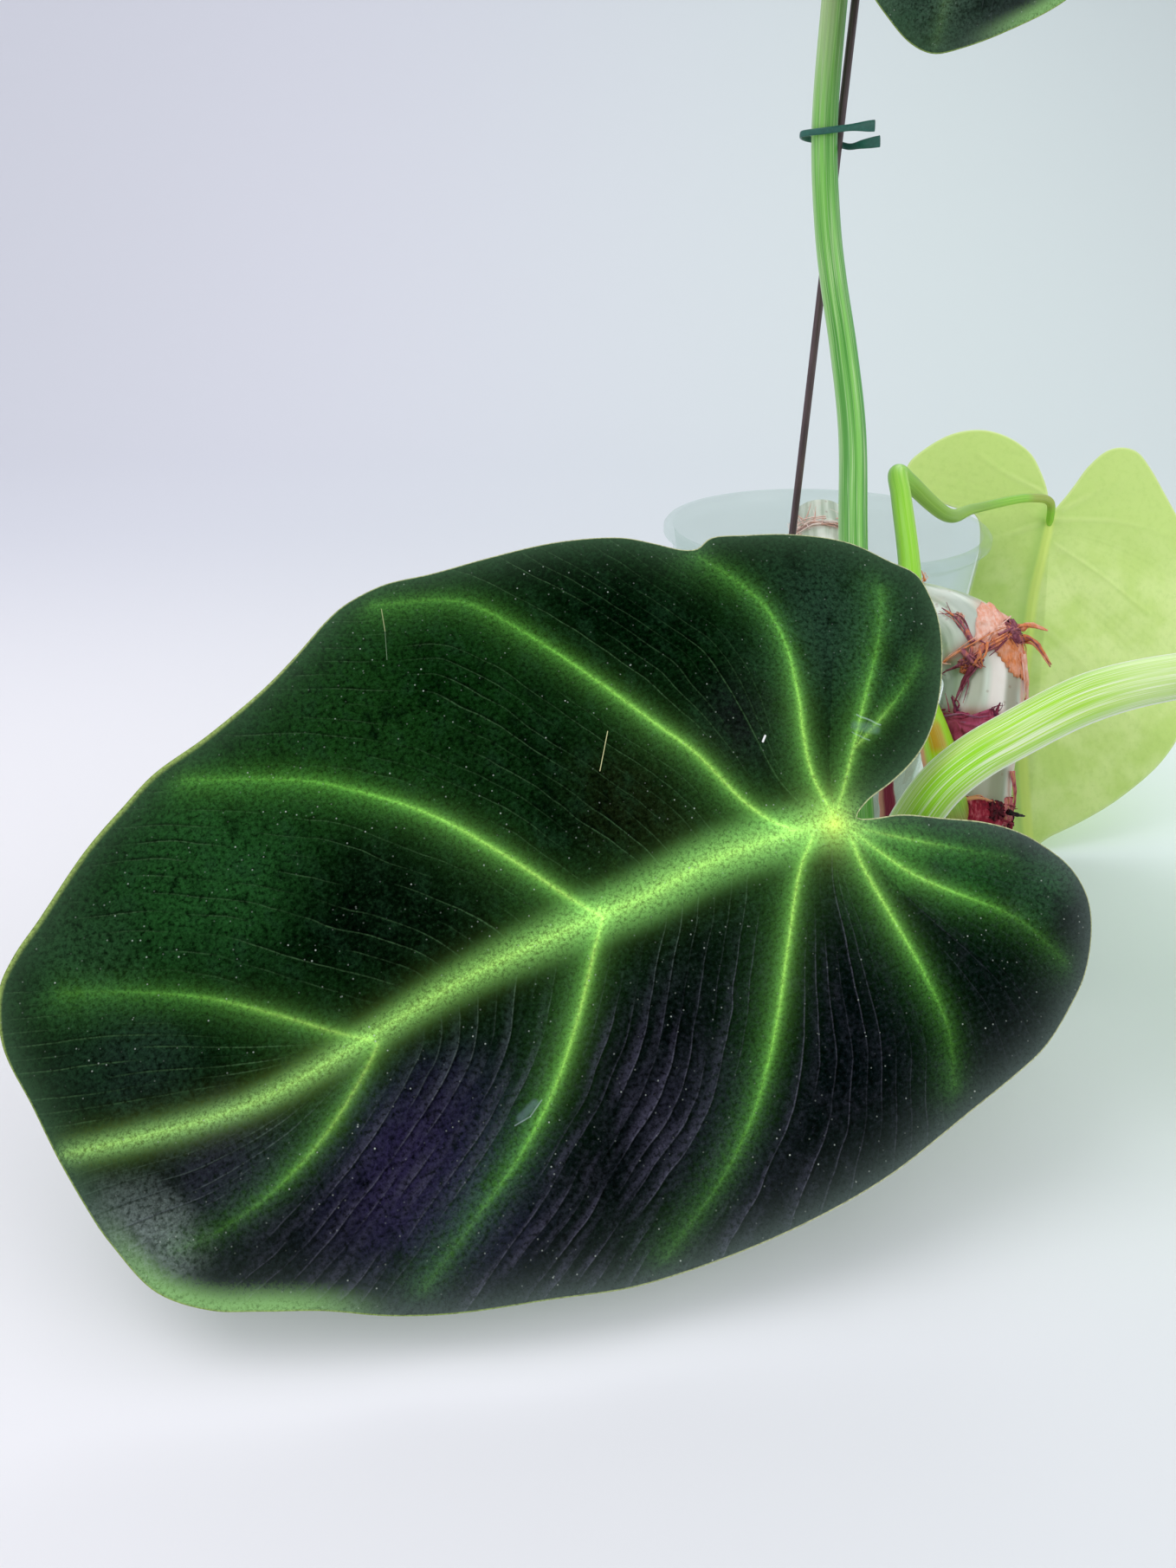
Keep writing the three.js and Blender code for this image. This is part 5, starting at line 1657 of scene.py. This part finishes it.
def add_area(name, place, target, size, power):
    """A round lamp aimed at a place."""
    data = bpy.data.lights.new(name, "AREA")
    data.shape = "DISK"
    data.size = size
    data.energy = power
    light = bpy.data.objects.new(name, data)
    light.location = place
    aim = Vector(target) - Vector(place)
    light.rotation_euler = aim.to_track_quat("-Z", "Y").to_euler()
    bpy.context.scene.collection.objects.link(light)


def add_light():
    """A pale room and its soft lamps."""
    world = bpy.data.worlds.new("room")
    world.use_nodes = True
    background = world.node_tree.nodes["Background"]
    background.inputs["Color"].default_value = ROOM_COLOUR
    background.inputs["Strength"].default_value = ROOM_STRENGTH
    scene = bpy.context.scene
    scene.world = world
    scene.view_settings.view_transform = "Standard"
    for lamp in LAMPS:
        add_area(*lamp)


add_camera()
add_floor()
add_light()
TUBE_TREE = tube_tree()

dark_blade = velvet_finish("dark_blade", FRONT_SPOTS, FRONT_MARKS)
side_blade = velvet_finish("side_blade")
high_blade = velvet_finish("high_blade", glow=0.1, shades=("#2a4434", "#4a6152"))
blade_piece("front", dark_blade, "dark_blade")
blade_piece("right", side_blade, "dark_blade")
blade_piece("high", high_blade, "dark_blade")
blade_piece("pale", pale_blade_finish(), "pale_blade")

RIGHT_ZONES = [
    (240, 110, 0.0, ALL_ROUND, "#dff0bc"),
    (160, 36, 0.0, ALL_ROUND, "#cbe792"),
    (92, 16, 0.1, 0.8, "#98dc10"),
    (114, 14, -0.5, 0.4, "#a8e030"),
    # Painted highlights along both edges of the stalk, as seen
    (120, 90, 1.5, 0.4, "#f4f8ea"),
    (120, 90, -1.5, 0.3, "#eef6dc"),
]
PALE_ZONES = [
    (0, 22, 0.0, ALL_ROUND, "#8a1a30"),
    (40, 16, 0.0, ALL_ROUND, "#a6dc10"),
    (37, 6, 0.1, 0.7, "#c8981c"),
    (34, 18, -1.4, 0.8, "#f0a080"),
    (90, 44, 0.2, 1.0, "#90d424"),
    (170, 40, 0.0, ALL_ROUND, "#8cb44c"),
    (228, 12, 0.0, ALL_ROUND, "#a0ac48"),
]
HIGH_ZONES = [
    (345, 90, -0.5, 1.2, "#a6bc84"),
    # Painted shade down the right side of its upper part, as seen
    (345, 90, 0.8, 0.5, "#6c8f4c"),
]
# After the stripe and its strength come the painted light and shade of each stalk's left and right sides
right_petiole = petiole_finish(
    "striped_petiole", ("#a0d630", "#bee466"), "#f0f8dc", 0.75, "#a8d848", "#d0e8a4", RIGHT_ZONES)
high_petiole = petiole_finish(
    "upright_petiole", ("#4c9832", "#7cc452"), "#c0dca4", 0.6, "#a8d48c", "#3f9440", HIGH_ZONES)
pale_petiole = petiole_finish(
    "young_petiole", ("#84c830", "#9cd444"), "#b8e070", 0.4, "#6ea82c", "#a8dc50", PALE_ZONES)
petiole_piece("front", high_petiole)
petiole_piece("right", right_petiole)
petiole_piece("high", high_petiole)
petiole_piece("pale", pale_petiole)

stem_piece(stem_finish())
stump_fibre = fibre_finish("stump_fibre", ["#c99a88", "#e3c3b6", "#efdcd4"])
arch_fibre = fibre_finish("arch_fibre", ["#6a2234", "#9a5a6c", "#e0844c", "#e8a48c", "#f2c8ba"])
upper_fibre = fibre_finish("upper_fibre", ["#5a2440", "#94304c", "#b04a6a", "#9a6484"])
lower_fibre = fibre_finish("lower_fibre", ["#1c1014", "#6a1428", "#9a1a34", "#d0707c", "#e0a070"])
fibre_piece("stump", stump_fibre, "old_fibre")
fibre_piece("arch", arch_fibre, "old_fibre")
fibre_piece("upper", upper_fibre, "red_fibre")
fibre_piece("lower", lower_fibre, "red_fibre")
cataphyll_piece(cataphyll_finish())
tie_piece(tie_finish())
stake_piece(stake_finish())
pot_piece(clear_plastic_finish())
pale_grit = grit_finish()
grit_bed(pale_grit)
grit_grains(pale_grit)
